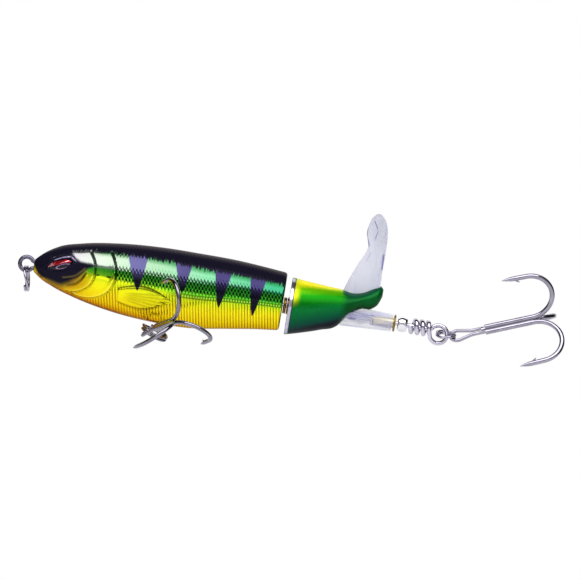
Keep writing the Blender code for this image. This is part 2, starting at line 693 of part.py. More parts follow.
split_ring("tail_split_ring", *TAIL_RING, (-1, 0, 0), (0, 0, 1), (SHAFT_LOOP[0], 0, SHAFT_LOOP[1]))
rise = math.radians(TAIL_HOOK_RISE)
to_left_side = (0, -1, 0)
treble(
    "tail_treble_hook",
    TAIL_HOOK_EYE,
    (math.cos(rise), 0, math.sin(rise)),
    to_left_side,
    TAIL_HOOK_ROLL,
    1.0,
    to_left_side,
    TAIL_HOOK_EYE_SIZE,
)
inner_pieces()
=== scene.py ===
# %% [markdown]
# # A topwater lure with a spinning tail
# The frame holds the lure's solids at their real size. This lesson dresses them: smooth painted shells with
# scales and gill plates, a clear blade, bright wire and hooks. Every new piece rides on the body that
# carries it.

# %% Load the frame
import math

import bpy
import numpy as np
from mathutils import Matrix, Vector


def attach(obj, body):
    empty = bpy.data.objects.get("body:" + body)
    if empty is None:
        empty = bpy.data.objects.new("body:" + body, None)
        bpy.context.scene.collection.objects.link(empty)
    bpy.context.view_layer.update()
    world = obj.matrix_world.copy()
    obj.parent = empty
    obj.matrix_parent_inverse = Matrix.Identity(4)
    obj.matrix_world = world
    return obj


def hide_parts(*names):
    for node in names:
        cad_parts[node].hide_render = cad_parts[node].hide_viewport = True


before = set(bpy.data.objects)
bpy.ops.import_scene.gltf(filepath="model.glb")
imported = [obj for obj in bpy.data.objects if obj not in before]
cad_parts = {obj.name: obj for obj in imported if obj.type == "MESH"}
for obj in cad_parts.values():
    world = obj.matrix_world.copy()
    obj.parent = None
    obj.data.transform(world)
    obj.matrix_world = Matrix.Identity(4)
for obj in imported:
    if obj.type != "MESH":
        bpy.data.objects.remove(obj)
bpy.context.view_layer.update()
MM = 0.001

# %% [markdown]
# ## Working by hand, in code
# Operators act on whatever is selected, so each piece starts with nothing selected. A grid or a circle is
# added, its points are moved to where the form needs them, and edit mode operators close and clean the
# mesh.

# %% Small modelling helpers
def select_only(*objects):
    bpy.ops.object.select_all(action="DESELECT")
    for made in objects:
        made.select_set(True)
    bpy.context.view_layer.objects.active = objects[-1] if objects else None


def linked(name, data):
    """A new object of this data, put in the scene."""
    made = bpy.data.objects.new(name, data)
    bpy.context.scene.collection.objects.link(made)
    return made


def named(name):
    """The primitive that was just added, with its name."""
    made = bpy.context.object
    made.name = name
    return made


def in_edit_mode(made, *steps):
    """Runs each edit mode step on all of the piece's points."""
    select_only(made)
    bpy.ops.object.mode_set(mode="EDIT")
    for step in steps:
        bpy.ops.mesh.select_all(action="SELECT")
        step()
    bpy.ops.object.mode_set(mode="OBJECT")


def weld():
    bpy.ops.mesh.remove_doubles(threshold=1e-6)


def drop_slivers():
    bpy.ops.mesh.dissolve_degenerate(threshold=2e-6)


def face_outwards():
    bpy.ops.mesh.normals_make_consistent(inside=False)


def close_ends():
    bpy.ops.mesh.select_all(action="DESELECT")
    bpy.ops.mesh.select_non_manifold()
    bpy.ops.mesh.edge_face_add()


def smooth(made, degrees=40):
    select_only(made)
    bpy.ops.object.shade_smooth_by_angle(angle=math.radians(degrees))


def apply_modifiers(made):
    select_only(made)
    for modifier in list(made.modifiers):
        bpy.ops.object.modifier_apply(modifier=modifier.name)


def dressed(made, body, finish, slot, *nodes):
    """Gives a finished piece its material, the body it moves with and the nodes it stands for."""
    made.data.materials.clear()
    made.data.materials.append(finish)
    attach(made, body)
    if nodes:
        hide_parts(*nodes)
    print(f"{made.name}: {len(made.data.polygons)} faces on {body}")


# %% [markdown]
# ## Skins wrapped from a grid
# A moulded skin is a flat grid rolled round its sections. The grid's two directions are the place along the
# skin and the place round it, and a formula says where each point goes. It is quicker and more even than
# pulling points, and the grid's UV map comes along.

# %% Wrap a grid
def wrapped(name, along, around, place):
    """A grid of along by around faces; place(u, v) sets its points in millimetres, u and v from 0 to 1."""
    select_only()
    bpy.ops.mesh.primitive_grid_add(x_subdivisions=along, y_subdivisions=around, size=1.0)
    made = named(name)
    made.data.name = name
    points = np.empty(len(made.data.vertices) * 3)
    made.data.vertices.foreach_get("co", points)
    flat = points.reshape(-1, 3)
    placed = np.stack(place(flat[:, 0] + 0.5, flat[:, 1] + 0.5), axis=1) * MM
    made.data.vertices.foreach_set("co", placed.ravel())
    made.data.update()
    return made


def through(stations, column, x):
    """Values at x of a smooth curve through one column of the stations."""
    xs = np.array([station[0] for station in stations])
    ys = np.array([station[column] for station in stations])
    slopes = np.gradient(ys, xs)
    i = np.clip(np.searchsorted(xs, x) - 1, 0, len(xs) - 2)
    step = xs[i + 1] - xs[i]
    t = (x - xs[i]) / step
    start = (1 + 2 * t) * (1 - t) ** 2 * ys[i] + t * (1 - t) ** 2 * step * slopes[i]
    return start + t * t * (3 - 2 * t) * ys[i + 1] + t * t * (t - 1) * step * slopes[i + 1]


def soft_step(value, low, high):
    t = np.clip((value - low) / (high - low), 0, 1)
    return t * t * (3 - 2 * t)


def bump_at(distance, width):
    return np.exp(-((distance / width) ** 2))


# %% [markdown]
# ## Shader sums
# A paint job is a stack of masks. Written as node links it is hard to read, so one small class wraps a
# socket and lets Python's own signs add the Math nodes. A second class holds a tree and adds every other
# node.

# %% Sockets that do sums
class Value:
    """A socket of a node tree."""

    def __init__(self, nodes, socket):
        self.nodes = nodes
        self.socket = socket

    def math(self, operation, *others):
        return self.nodes.add("ShaderNodeMath", {"operation": operation}, (self, *others))

    def __add__(self, other):
        return self.math("ADD", other)

    def __sub__(self, other):
        return self.math("SUBTRACT", other)

    def __rsub__(self, other):
        return self.nodes.add("ShaderNodeMath", {"operation": "SUBTRACT"}, (other, self))

    def __mul__(self, other):
        return self.math("MULTIPLY", other)

    def __truediv__(self, other):
        return self.math("DIVIDE", other)

    __radd__ = __add__
    __rmul__ = __mul__

    def step(self, low, high):
        """0 below low, 1 above high, smooth between; low may be above high."""
        ends = (0.0, 1.0) if low <= high else (1.0, 0.0)
        inputs = (self, min(low, high), max(low, high), *ends)
        return self.nodes.add("ShaderNodeMapRange", {"interpolation_type": "SMOOTHSTEP"}, inputs)

    def wave(self, pitch):
        """A cosine of this value with the given pitch."""
        return (self * (2 * math.pi / pitch)).math("COSINE")

    def ramp(self, *stops):
        """Colours that run on from stop to stop."""
        tones = self.nodes.add("ShaderNodeValToRGB", None, (self,))
        elements = tones.socket.node.color_ramp.elements
        while len(elements) < len(stops):
            elements.new(0.5)
        for element, (place, tone) in zip(elements, stops):
            element.position = place
            element.color = tone
        return tones


def strongest(masks):
    """The largest of several masks at each place."""
    whole = masks[0]
    for mask in masks[1:]:
        whole = whole.math("MAXIMUM", mask)
    return whole


# %% Trees that add nodes
class Nodes:
    """A node tree whose nodes are added by one method."""

    def __init__(self, tree):
        self.tree = tree

    def add(self, kind, settings=None, inputs=(), out=0):
        node = self.tree.nodes.new(kind)
        for key, value in (settings or {}).items():
            setattr(node, key, value)
        pairs = inputs.items() if isinstance(inputs, dict) else enumerate(inputs)
        for key, value in pairs:
            self.put(node.inputs[key], value)
        return Value(self, node.outputs[out])

    def put(self, socket, value):
        if isinstance(value, Value):
            self.tree.links.new(value.socket, socket)
        else:
            socket.default_value = value

    def mix(self, factor, first, second):
        settings = {"data_type": "RGBA"}
        return self.add("ShaderNodeMix", settings, {0: factor, 6: first, 7: second}, out=2)

    def layered(self, base, *coats):
        """Lays colours over base, one after another, each through its mask."""
        for mask, tone in coats:
            base = self.mix(mask, base, tone)
        return base


class Finish(Nodes):
    """A material that knows the place on its piece, x, y and z in millimetres."""

    def __init__(self, name, **constants):
        self.material = bpy.data.materials.new(name)
        self.material.use_nodes = True
        super().__init__(self.material.node_tree)
        self.shader = self.tree.nodes["Principled BSDF"]
        self.set(**constants)
        self.place = self.add("ShaderNodeTexCoord", out="Object")
        split = self.add("ShaderNodeSeparateXYZ", inputs=(self.place,))
        outputs = split.socket.node.outputs
        self.x, self.y, self.z = (Value(self, socket) * (1 / MM) for socket in outputs)

    def set(self, **values):
        """Sets or links the shader's sockets; a socket's name is written with low lines."""
        for key, value in values.items():
            self.put(self.shader.inputs[key.replace("_", " ").title().replace("Ior", "IOR")], value)

    def noise(self, size, detail=2.0):
        """Soft noise, 0 to 1, whose blots are about size millimetres wide."""
        inputs = {"Vector": self.place, "Scale": 1 / (size * MM), "Detail": detail}
        return self.add("ShaderNodeTexNoise", None, inputs)

    def drawn_out(self, places, dimensions="3D"):
        """Soft noise whose blots are as long and as wide as the scaled places make them."""
        vector = self.add("ShaderNodeCombineXYZ", None, places)
        inputs = {"Vector": vector, "Scale": 1.0, "Detail": 2.0}
        return self.add("ShaderNodeTexNoise", {"noise_dimensions": dimensions}, inputs)

    def attribute(self, name):
        return self.add("ShaderNodeAttribute", {"attribute_name": name}, out="Fac")

    def relief(self, height, depth):
        """Bump whose height, 0 to 1, stands for depth millimetres."""
        bump = self.add("ShaderNodeBump", None, {"Height": height, "Distance": depth * MM})
        self.put(self.shader.inputs["Normal"], bump)


def rgb(red, green, blue):
    """A screen colour, 0 to 255, as the light it stands for."""
    parts = [channel / 255 for channel in (red, green, blue)]
    return (*[c / 12.92 if c < 0.04045 else ((c + 0.055) / 1.055) ** 2.4 for c in parts], 1.0)


# %% [markdown]
# ## Camera
# The photo looks square at the lure's left side through a long lens, and the lure slopes down to the tail.
# The frame's +X runs along the lure, so here the camera rolls instead.

# %% Place the camera
PICTURE_WIDTH = 156.6
PICTURE_CENTRE = (71.3, 4.33)
SLOPE = math.radians(9.2)
DISTANCE = 900
camera_data = bpy.data.cameras.new("camera")
camera_data.sensor_width = 36.0
camera_data.lens = camera_data.sensor_width * DISTANCE / PICTURE_WIDTH
camera = linked("camera", camera_data)
right = Vector((math.cos(SLOPE), 0, math.sin(SLOPE)))
back = Vector((0, -1, 0))
turn = Matrix((right, back.cross(right), back)).transposed().to_4x4()
stand = Vector((PICTURE_CENTRE[0], -DISTANCE, PICTURE_CENTRE[1])) * MM
camera.matrix_world = Matrix.Translation(stand) @ turn
bpy.context.scene.camera = camera
bpy.context.scene.view_settings.view_transform = "Standard"
print("lens", round(camera_data.lens, 1), "mm")

# %% [markdown]
# ## Studio
# A white floor sweeps up into a white backdrop. Near the lure the floor is plain diffuse, so it keeps the
# shadow; further out camera, mirror and see-through rays find it even white, and a camera below looks
# through it.

# %% Floor and backdrop
FLOOR_DROP, FLOOR_MIDDLE = 140, 70
FLOOR_WIDTH, FLOOR_RUN, FLOOR_FRONT = 1500, 2050, 750
SWEEP_START, SWEEP_RADIUS = 550, 400
SHADOW_REACH, MIRROR_SHARE = (170, 340), 0.5


def sweep(u, v):
    """The floor runs level and then bends up into the backdrop."""
    run = v * FLOOR_RUN - FLOOR_FRONT
    bend = np.clip((run - SWEEP_START) / SWEEP_RADIUS, 0, math.pi / 2)
    rest = np.maximum(run - SWEEP_START - SWEEP_RADIUS * math.pi / 2, 0)
    depth = np.minimum(run, SWEEP_START) + SWEEP_RADIUS * np.sin(bend)
    lift = SWEEP_RADIUS * (1 - np.cos(bend)) + rest
    return (u - 0.5) * FLOOR_WIDTH + FLOOR_MIDDLE, depth, lift - FLOOR_DROP


floor = wrapped("studio_floor", 8, 60, sweep)
smooth(floor, 80)


def rays(nodes):
    """1 for camera rays, for mirror rays and for see-through rays."""
    names = ("Is Camera Ray", "Is Glossy Ray", "Is Transmission Ray")
    return [nodes.add("ShaderNodeLightPath", out=name) for name in names]


paper = Finish("studio_white", Roughness=0.9, Specular_ior_level=0.1, Base_color=(0.86, 0.86, 0.87, 1.0))
camera_ray, mirror_ray, clear_ray = rays(paper)
away = paper.add("ShaderNodeVectorMath", {"operation": "LENGTH"}, (paper.place,), out="Value")
outside = away.step(SHADOW_REACH[0] * MM, SHADOW_REACH[1] * MM)
lit_up = strongest((camera_ray, mirror_ray * MIRROR_SHARE, clear_ray)) * outside
white = paper.add("ShaderNodeEmission")
sheet = Value(paper, paper.shader.outputs[0])
front = paper.add("ShaderNodeMixShader", None, (lit_up, sheet, white))
below = paper.add("ShaderNodeNewGeometry", out="Backfacing") * camera_ray
nothing = paper.add("ShaderNodeBsdfTransparent")
both = paper.add("ShaderNodeMixShader", None, (below, front, nothing))
paper.put(paper.tree.nodes["Material Output"].inputs["Surface"], both)
floor.data.materials.append(paper.material)
print("floor", FLOOR_DROP, "mm below the axis")

# %% [markdown]
# ## Room and lights
# Metal shows what stands round it. Here it mirrors a room that is pale in front and behind and dark at the
# sides, so it gets its black edges, while dull paint gets even daylight. One long softbox above the camera
# draws the bright band along the flank, a weaker one lights the far side, and a low strip in front lifts
# the belly.

# %% Room
DAYLIGHT = 0.55
WHITE = (1.0, 1.0, 1.0, 1.0)
ROOM_LEVELS = ((0.0, 0.42), (0.16, 0.50), (0.34, 0.04), (0.80, 0.02))
world = bpy.data.worlds.new("studio")
bpy.context.scene.world = world
world.use_nodes = True
room = Nodes(world.node_tree)
camera_ray, mirror_ray, clear_ray = rays(room)
direction = room.add("ShaderNodeTexCoord", out="Generated")
facing = room.add("ShaderNodeSeparateXYZ", None, (direction,), out="Y") * 0.5 + 0.5
tones = [(place, (level, level * 0.98, level * 1.08, 1.0)) for place, level in ROOM_LEVELS]
walls = facing.ramp(*tones, (1.0, WHITE))
plain = room.mix(mirror_ray, (DAYLIGHT, DAYLIGHT, DAYLIGHT * 1.03, 1.0), walls)
seen = room.mix(strongest((camera_ray, clear_ray)), plain, WHITE)
room.put(room.tree.nodes["Background"].inputs["Color"], seen)
print("room's levels from the front:", [level for place, level in ROOM_LEVELS], "and white behind")

# %% Softboxes
LIT_PLACE = (55, 0, 0)
SOFTBOXES = (
    ("flank_softbox", (45, -270, 355), (700, 370), 3.3),
    ("far_softbox", (45, 300, 340), (600, 250), 1.3),
    ("low_front_strip", (60, -420, -60), (600, 50), 1.2),
)
for name, place, size, radiance in SOFTBOXES:
    data = bpy.data.lights.new(name, "AREA")
    data.shape = "RECTANGLE"
    data.size, data.size_y = (edge * MM for edge in size)
    data.energy = radiance * math.pi * data.size * data.size_y
    lamp = linked(name, data)
    lamp.location = Vector(place) * MM
    lamp.rotation_euler = (Vector(LIT_PLACE) - Vector(place)).to_track_quat("-Z", "Y").to_euler()
    print(name, "has a face of brightness", radiance)

# %% [markdown]
# ## Body shells
# The body is two moulded halves. The real moulding carries a lot of low relief: gill plates, jaw lines, an
# almond eye socket, a pectoral fin with rays, and ribs down the flank. All of it is pushed out along the
# skin here, and the same lines are kept as attributes, so the paint finds them again.

# %% The body's sections
BODY_STATIONS = (
    (2.0, 1.5, -1.7, 1.4),
    (4.0, 3.4, -3.2, 3.0),
    (8.0, 6.0, -5.1, 5.1),
    (14.0, 7.8, -7.0, 6.8),
    (24.0, 9.4, -9.1, 8.2),
    (36.0, 10.2, -10.2, 8.8),
    (46.0, 10.2, -10.2, 8.8),
    (56.0, 10.0, -8.8, 8.4),
    (64.0, 9.4, -7.6, 8.0),
    (69.2, 8.9, -7.0, 7.8),
)
BODY_REAR, REAR_ROUND = 70.0, 0.8
EYE_PLACE, EYE_HALF, EYE_TILT = (9.2, 1.1), (3.5, 1.5), math.radians(22)
BROW_FLAT = 0.82


def body_section(x):
    top = through(BODY_STATIONS, 1, x)
    bottom = through(BODY_STATIONS, 2, x)
    return (top + bottom) / 2, (top - bottom) / 2, through(BODY_STATIONS, 3, x)


def near_line(x, z, points):
    """Distance from each point to a polyline in the side view."""
    best = np.full_like(x, 99.0)
    for (ax, az), (bx, bz) in zip(points, points[1:]):
        dx, dz = bx - ax, bz - az
        t = np.clip(((x - ax) * dx + (z - az) * dz) / (dx * dx + dz * dz), 0, 1)
        best = np.minimum(best, np.hypot(x - ax - t * dx, z - az - t * dz))
    return best


def is_inside(x, z, outline):
    """True for points within a closed outline."""
    closed = [*outline, outline[0]]
    odd = np.zeros(len(x), bool)
    for (ax, az), (bx, bz) in zip(closed, closed[1:]):
        crosses = (az > z) != (bz > z)
        odd ^= crosses & (x < (bx - ax) * (z - az) / (bz - az if bz != az else 1e-9) + ax)
    return odd


def inside_outline(x, z, outline):
    """Distance to a closed outline, above 0 inside it."""
    return np.where(is_inside(x, z, outline), 1, -1) * near_line(x, z, [*outline, outline[0]])


def eye_frame(x, z):
    """Place in the eye's own frame: along its long axis and across it, both 1 at the almond's ends."""
    dx, dz = x - EYE_PLACE[0], z - EYE_PLACE[1]
    along = (dx * math.cos(EYE_TILT) + dz * math.sin(EYE_TILT)) / EYE_HALF[0]
    across = (dz * math.cos(EYE_TILT) - dx * math.sin(EYE_TILT)) / EYE_HALF[1]
    return along, across


def lid_measure(along, across):
    """Below 0 inside the eye: its brow is nearly straight and its lower lid is round."""
    brow = BROW_FLAT * np.clip(1 - along ** 4, 0, 1)
    lid = np.clip(1 - along * along, 0, 1)
    return np.where(across > 0, across - brow, -across - lid)


print("body stations:", len(BODY_STATIONS), "from", BODY_STATIONS[0][0], "to", BODY_STATIONS[-1][0], "mm")

# %% Lines read off the picture
PIXEL = 0.27
NOSE_PIXEL = (26.7, 263.6)


def from_picture(u, v):
    """A pixel of the picture as X and Z on the lure's side, in millimetres."""
    dx, dy = (u - NOSE_PIXEL[0]) * PIXEL, (NOSE_PIXEL[1] - v) * PIXEL
    return dx * math.cos(SLOPE) - dy * math.sin(SLOPE), dx * math.sin(SLOPE) + dy * math.cos(SLOPE)


def curve_through(pixels, count=40):
    """A smooth line through pixels of the picture, as points on the lure's side."""
    numbered = [(i, *from_picture(*pixel)) for i, pixel in enumerate(pixels)]
    steps = np.linspace(0, len(pixels) - 1, count)
    return list(zip(through(numbered, 1, steps), through(numbered, 2, steps)))


GILL_PIXELS = (
    ((92, 252.5), (95.6, 263), (95.8, 274), (91, 284.5), (82, 290), (71, 291.6)),
    ((112.8, 253), (116.6, 267), (115.8, 280), (108, 292), (94, 297.2), (79, 295.6), (67, 290.5)),
)
JAW_PIXELS = (
    ((64.3, 279.2), (75.7, 277.6), (82.1, 273.8), (86.4, 270.4)),
    ((68.6, 285.3), (77.1, 283.6), (82.9, 279), (87.1, 272.9)),
)
GILL_LINES = [curve_through(pixels) for pixels in GILL_PIXELS]
JAW_LINES = [curve_through(pixels, 12) for pixels in JAW_PIXELS]
HEAD_SIDE = [from_picture(u, v) for u, v in ((40, 292), (20, 270), (40, 240), (70, 235))]
print("gill lines:", len(GILL_LINES), "jaw lines:", len(JAW_LINES))

# %% Relief on the head
NOSTRIL, NOSTRIL_WIDTH = (6.7, 2.85), 0.34


def head_relief(x, z):
    """How far the gill plates, jaw lines and eye socket stand out, their dark lines, and where painted
    highlights go beside them.
    """
    push = np.zeros_like(x)
    ink = np.zeros_like(x)
    edge = np.zeros_like(x)
    low = 1 - soft_step(z, -1.2, 1.0)
    for line in GILL_LINES:
        away = near_line(x, z, line)
        out = np.where(is_inside(x, z, [*line, *HEAD_SIDE]), -away, away)
        push += (0.12 + 0.14 * low) * soft_step(out, -1.8, -0.15) * (out < 0) * soft_step(x, 12, 16)
        push -= 0.28 * bump_at(out - 0.22, 0.26)
        ink = np.maximum(ink, bump_at(out - 0.22, 0.24) * (1 - 0.6 * low))
        # edge: a painted highlight on the raised plate just inside each gill line, low on the head.
        edge = np.maximum(edge, bump_at(out + 0.28, 0.26) * low)
    for line in JAW_LINES:
        away = near_line(x, z, line)
        push -= 0.26 * bump_at(away, 0.28)
        ink = np.maximum(ink, bump_at(away, 0.36))
        # edge: a painted highlight just above each jaw line.
        edge = np.maximum(edge, 0.75 * bump_at(near_line(x, z - 0.42, line), 0.22))
    along, across = eye_frame(x, z)
    almond = lid_measure(along, across)
    brow = 0.42 * bump_at(almond - 0.5, 0.30) * (across > -0.2)
    socket = 0.5 * (1 - soft_step(almond, -0.25, 0.3))
    push += (np.abs(along) < 1.25) * (brow - socket)
    push -= 0.22 * bump_at(np.hypot(x - NOSTRIL[0], z - NOSTRIL[1]), NOSTRIL_WIDTH)
    return push, ink, edge


# %% Relief on the fin and the flank
FIN_ROOT, FIN_TIP, FIN_FAN = (25.7, -4.3), (40.6, -3.9), (21.0, -4.0)
FIN_RAYS = (-0.165, -0.095, -0.035, 0.025, 0.08)
RIB_PITCH, RIB_LEAN, RIB_START = 0.78, 0.16, (14.5, 17)
LATERAL, DOT_PITCH = 0.17, 0.72
RIB_HIGH = 0.07


def fin_frame(x, z):
    """Place along the pectoral fin, 0 at its root and 1 at its tip, and across it, 1 at its edges."""
    t = (x - FIN_ROOT[0]) / (FIN_TIP[0] - FIN_ROOT[0])
    inside = np.clip(t, 0, 1)
    half = 1.5 * (1 - inside) + 1.9 * np.sin(math.pi * inside) + 0.12
    return t, (z - FIN_ROOT[1] - inside * (FIN_TIP[1] - FIN_ROOT[1])) / half


def relief(x, z, height):
    """How far the skin stands out, in millimetres, the dark places, the places for painted highlights, and
    the plain places for the paint.
    """
    push, ink, edge = head_relief(x, z)
    t, v = fin_frame(x, z)
    on_fin = soft_step(t, -0.02, 0.05) * (1 - soft_step(t, 0.98, 1.02))
    leaf = on_fin * (1 - soft_step(np.abs(v), 0.80, 1.12))
    push += leaf * (0.42 - 0.2 * np.clip(t, 0, 1))
    fan = np.arctan2(z - FIN_FAN[1], x - FIN_FAN[0])
    reach = np.hypot(x - FIN_FAN[0], z - FIN_FAN[1])
    for ray in FIN_RAYS:
        groove = leaf * bump_at((fan - ray) * reach, 0.27) * soft_step(t, 0.06, 0.32) * (np.abs(v) < 0.92)
        push -= 0.16 * groove
        edge *= 1 - groove
        ink = np.maximum(ink, 0.45 * groove)
    rim = on_fin * bump_at(np.abs(v) - 1.0, 0.17)
    ink = np.maximum(ink, rim * np.where(v > 0, 0.9, 0.5))
    plate = soft_step(inside_outline(x, z, [*GILL_LINES[1], *HEAD_SIDE]), -0.7, -0.3)
    plain = np.maximum(leaf, plate)
    flank = soft_step(x, *RIB_START) * (1 - soft_step(x, 67.5, 69)) * (1 - plain)
    ribbed = flank * (1 - soft_step(height, -0.28, -0.12)) * soft_step(height, -0.97, -0.85)
    push += ribbed * RIB_HIGH * np.cos(2 * math.pi * (x + RIB_LEAN * z) / RIB_PITCH)
    lateral = flank * bump_at(height + LATERAL, 0.025)
    push += lateral * RIB_HIGH * np.cos(2 * math.pi * x / DOT_PITCH)
    return push, ink, edge, plain


print("fin is", round(FIN_TIP[0] - FIN_ROOT[0], 1), "mm long and has", len(FIN_RAYS), "rays")

# %% Outline of the head's black mask
MASK_PIXELS = (
    (20, 250), (33, 263), (38.6, 274.3), (51, 282.5), (58, 285.5), (63, 286), (71, 283.4), (79.4, 278),
    (85.6, 273), (89.6, 269), (99, 266.6), (95, 265), (82, 262), (76, 257.5), (74, 254), (76, 240), (40, 235),
)
HEAD_MASK = [from_picture(u, v) for u, v in MASK_PIXELS]
print("mask reaches back to", round(max(x for x, z in HEAD_MASK), 1), "mm")

# %% Wrap and thicken the two halves
ALONG, AROUND = 350, 118
SEAM = 0.03
SHELL_WALL = 1.2
NOSE_RINGS = ((2.15, 0.75), (2.02, 0.45), (2.05, 0.2), (2.2, 0.05))
SHAFT_HOLE = 1.0


def body_profile():
    """Place and inset of each ring, from the wire hole in the nose to the shaft hole in the rear wall."""
    rings = list(NOSE_RINGS)
    rear = [math.radians(a) for a in (18, 36, 54, 72, 90)]
    flat = BODY_STATIONS[-1][0]
    rings += [(x, 0.0) for x in np.linspace(2.5, flat, ALONG - len(NOSE_RINGS) - len(rear) - 3)]
    rings += [(flat + REAR_ROUND * math.sin(a), REAR_ROUND * (1 - math.cos(a))) for a in rear]
    widest = BODY_STATIONS[-1][3]
    rings += [(BODY_REAR, inset) for inset in np.linspace(2.5, widest - SHAFT_HOLE, 4)]
    return np.array(rings)


def body_shell(name, side):
    profile = body_profile()
    lines = {}

    def place(u, v):
        ring = u * (len(profile) - 1)
        count = np.arange(len(profile))
        x = np.interp(ring, count, profile[:, 0])
        inset = np.interp(ring, count, profile[:, 1])
        middle, half_height, half_width = body_section(np.minimum(x, BODY_STATIONS[-1][0]))
        angle = math.pi * (v - 0.5) * side
        height = np.sin(angle)
        shrunk = half_height - inset
        deep = soft_step(inset, REAR_ROUND, BODY_STATIONS[-1][3])
        middle = middle * (1 - deep)
        y = (half_width - inset) * np.cos(angle)
        z = middle + shrunk * height
        push, ink, edge, plain = relief(x, z, height)
        fade = soft_step(x, 2.6, 4.0) * (inset < 0.02) * soft_step(np.cos(angle), 0.0, 0.12)
        normal = np.stack([np.cos(angle) / half_width, height / half_height])
        normal /= np.linalg.norm(normal, axis=0)
        blur = soft_step(z, -1.0, -2.6) * soft_step(x, 5.0, 8.0)
        mask = soft_step(inside_outline(x, z, HEAD_MASK) / (1 + 2.0 * blur), -0.55, 0.4)
        lines.update(ink=ink * fade, edge=edge * fade, plain=plain * fade, height=height, mask=mask)
        y = SEAM + y + normal[0] * push * fade
        return x, side * y, z + normal[1] * push * fade

    shell = wrapped(name, ALONG, AROUND, place)
    for line, values in lines.items():
        made = shell.data.attributes.new(line, "FLOAT", "POINT")
        made.data.foreach_set("value", values.astype(np.float32))
    in_edit_mode(shell, face_outwards)
    wall = shell.modifiers.new("wall", "SOLIDIFY")
    wall.thickness = SHELL_WALL * MM
    wall.offset = -1.0
    apply_modifiers(shell)
    smooth(shell, 50)
    return shell


# %% [markdown]
# ## Body paint
# The real finish is a printed foil under clear lacquer: yellow belly, lime and green flank with dark scale
# specks, black back with ragged streaks and four wedges, and a black mask on the head. The foil is metallic
# and the ink of back and mask hardly is, so the softbox turns the green band pale, the wedges violet, and
# leaves the back black.

# %% Marks on the paint
WEDGES = (
    (130, 149, 258, 138.6, 291),
    (177, 193, 265, 182.6, 293.5),
    (216, 233, 271, 218.7, 308),
    (251, 267, 278, 252, 316.5),
)
# Painted highlights along the raised brow above the eye, and a glint on the nostril.
BROW_HIGHLIGHTS = (
    ((55.5, 260.2), (64, 257.6), 0.10),
    ((63, 257.8), (73, 256.6), 0.13),
    ((72.5, 256.6), (77.5, 261.5), 0.14),
    ((54.8, 257.6), (56.2, 257), 0.10),
)
CHEEK_DASHES = (((97.5, 275.2), (101.5, 275.2), 0.26), ((107.5, 277), (113.5, 277.4), 0.26))


def line_frame(paint, first, last):
    """Place along and off a line between two pixels of the picture, and its length, in millimetres."""
    (ax, az), (bx, bz) = from_picture(*first), from_picture(*last)
    length = math.hypot(bx - ax, bz - az)
    run_x, run_z = (bx - ax) / length, (bz - az) / length
    run = (paint.x - ax) * run_x + (paint.z - az) * run_z
    return run, (paint.z - az) * run_x - (paint.x - ax) * run_z, length


def strokes(paint, lines):
    """Soft lines between pixels of the picture, each with its half width in millimetres."""
    marks = []
    for first, last, half in lines:
        run, off, length = line_frame(paint, first, last)
        ends = run.step(-0.3, 0.6) * run.step(length + 0.3, length - 0.6)
        marks.append(off.math("ABSOLUTE").step(half * 2, 0.0) * ends)
    return strongest(marks)


def wedge_mask(paint, ragged):
    """Wedges that hang from the back, each given by the pixels of its top and of its point."""
    marks = []
    for left, right_end, top, point_u, point_v in WEDGES:
        left_x, top_z = from_picture(left, top)
        right_x = from_picture(right_end, top)[0]
        point_x, point_z = from_picture(point_u, point_v)
        drop = (paint.z - point_z) / (top_z - point_z)
        middle = point_x + ((left_x + right_x) / 2 - point_x) * drop
        half = drop.math("POWER", 0.75) * ((right_x - left_x) / 2) + ragged * 0.3
        inside = (half - (paint.x - middle).math("ABSOLUTE")).step(-0.12, 0.12)
        marks.append(inside * drop.step(0.0, 0.04))
    return strongest(marks)


print("wedges:", len(WEDGES), "brow strokes:", len(BROW_HIGHLIGHTS))

# %% Mix the body paint
SCALE_LONG, SCALE_HIGH, SCALE_LEAN = 0.92, 0.90, 0.12
BACK_BLACK = rgb(23, 21, 35)
WEDGE_PALE, WEDGE_VIOLET = rgb(69, 67, 103), rgb(45, 40, 74)


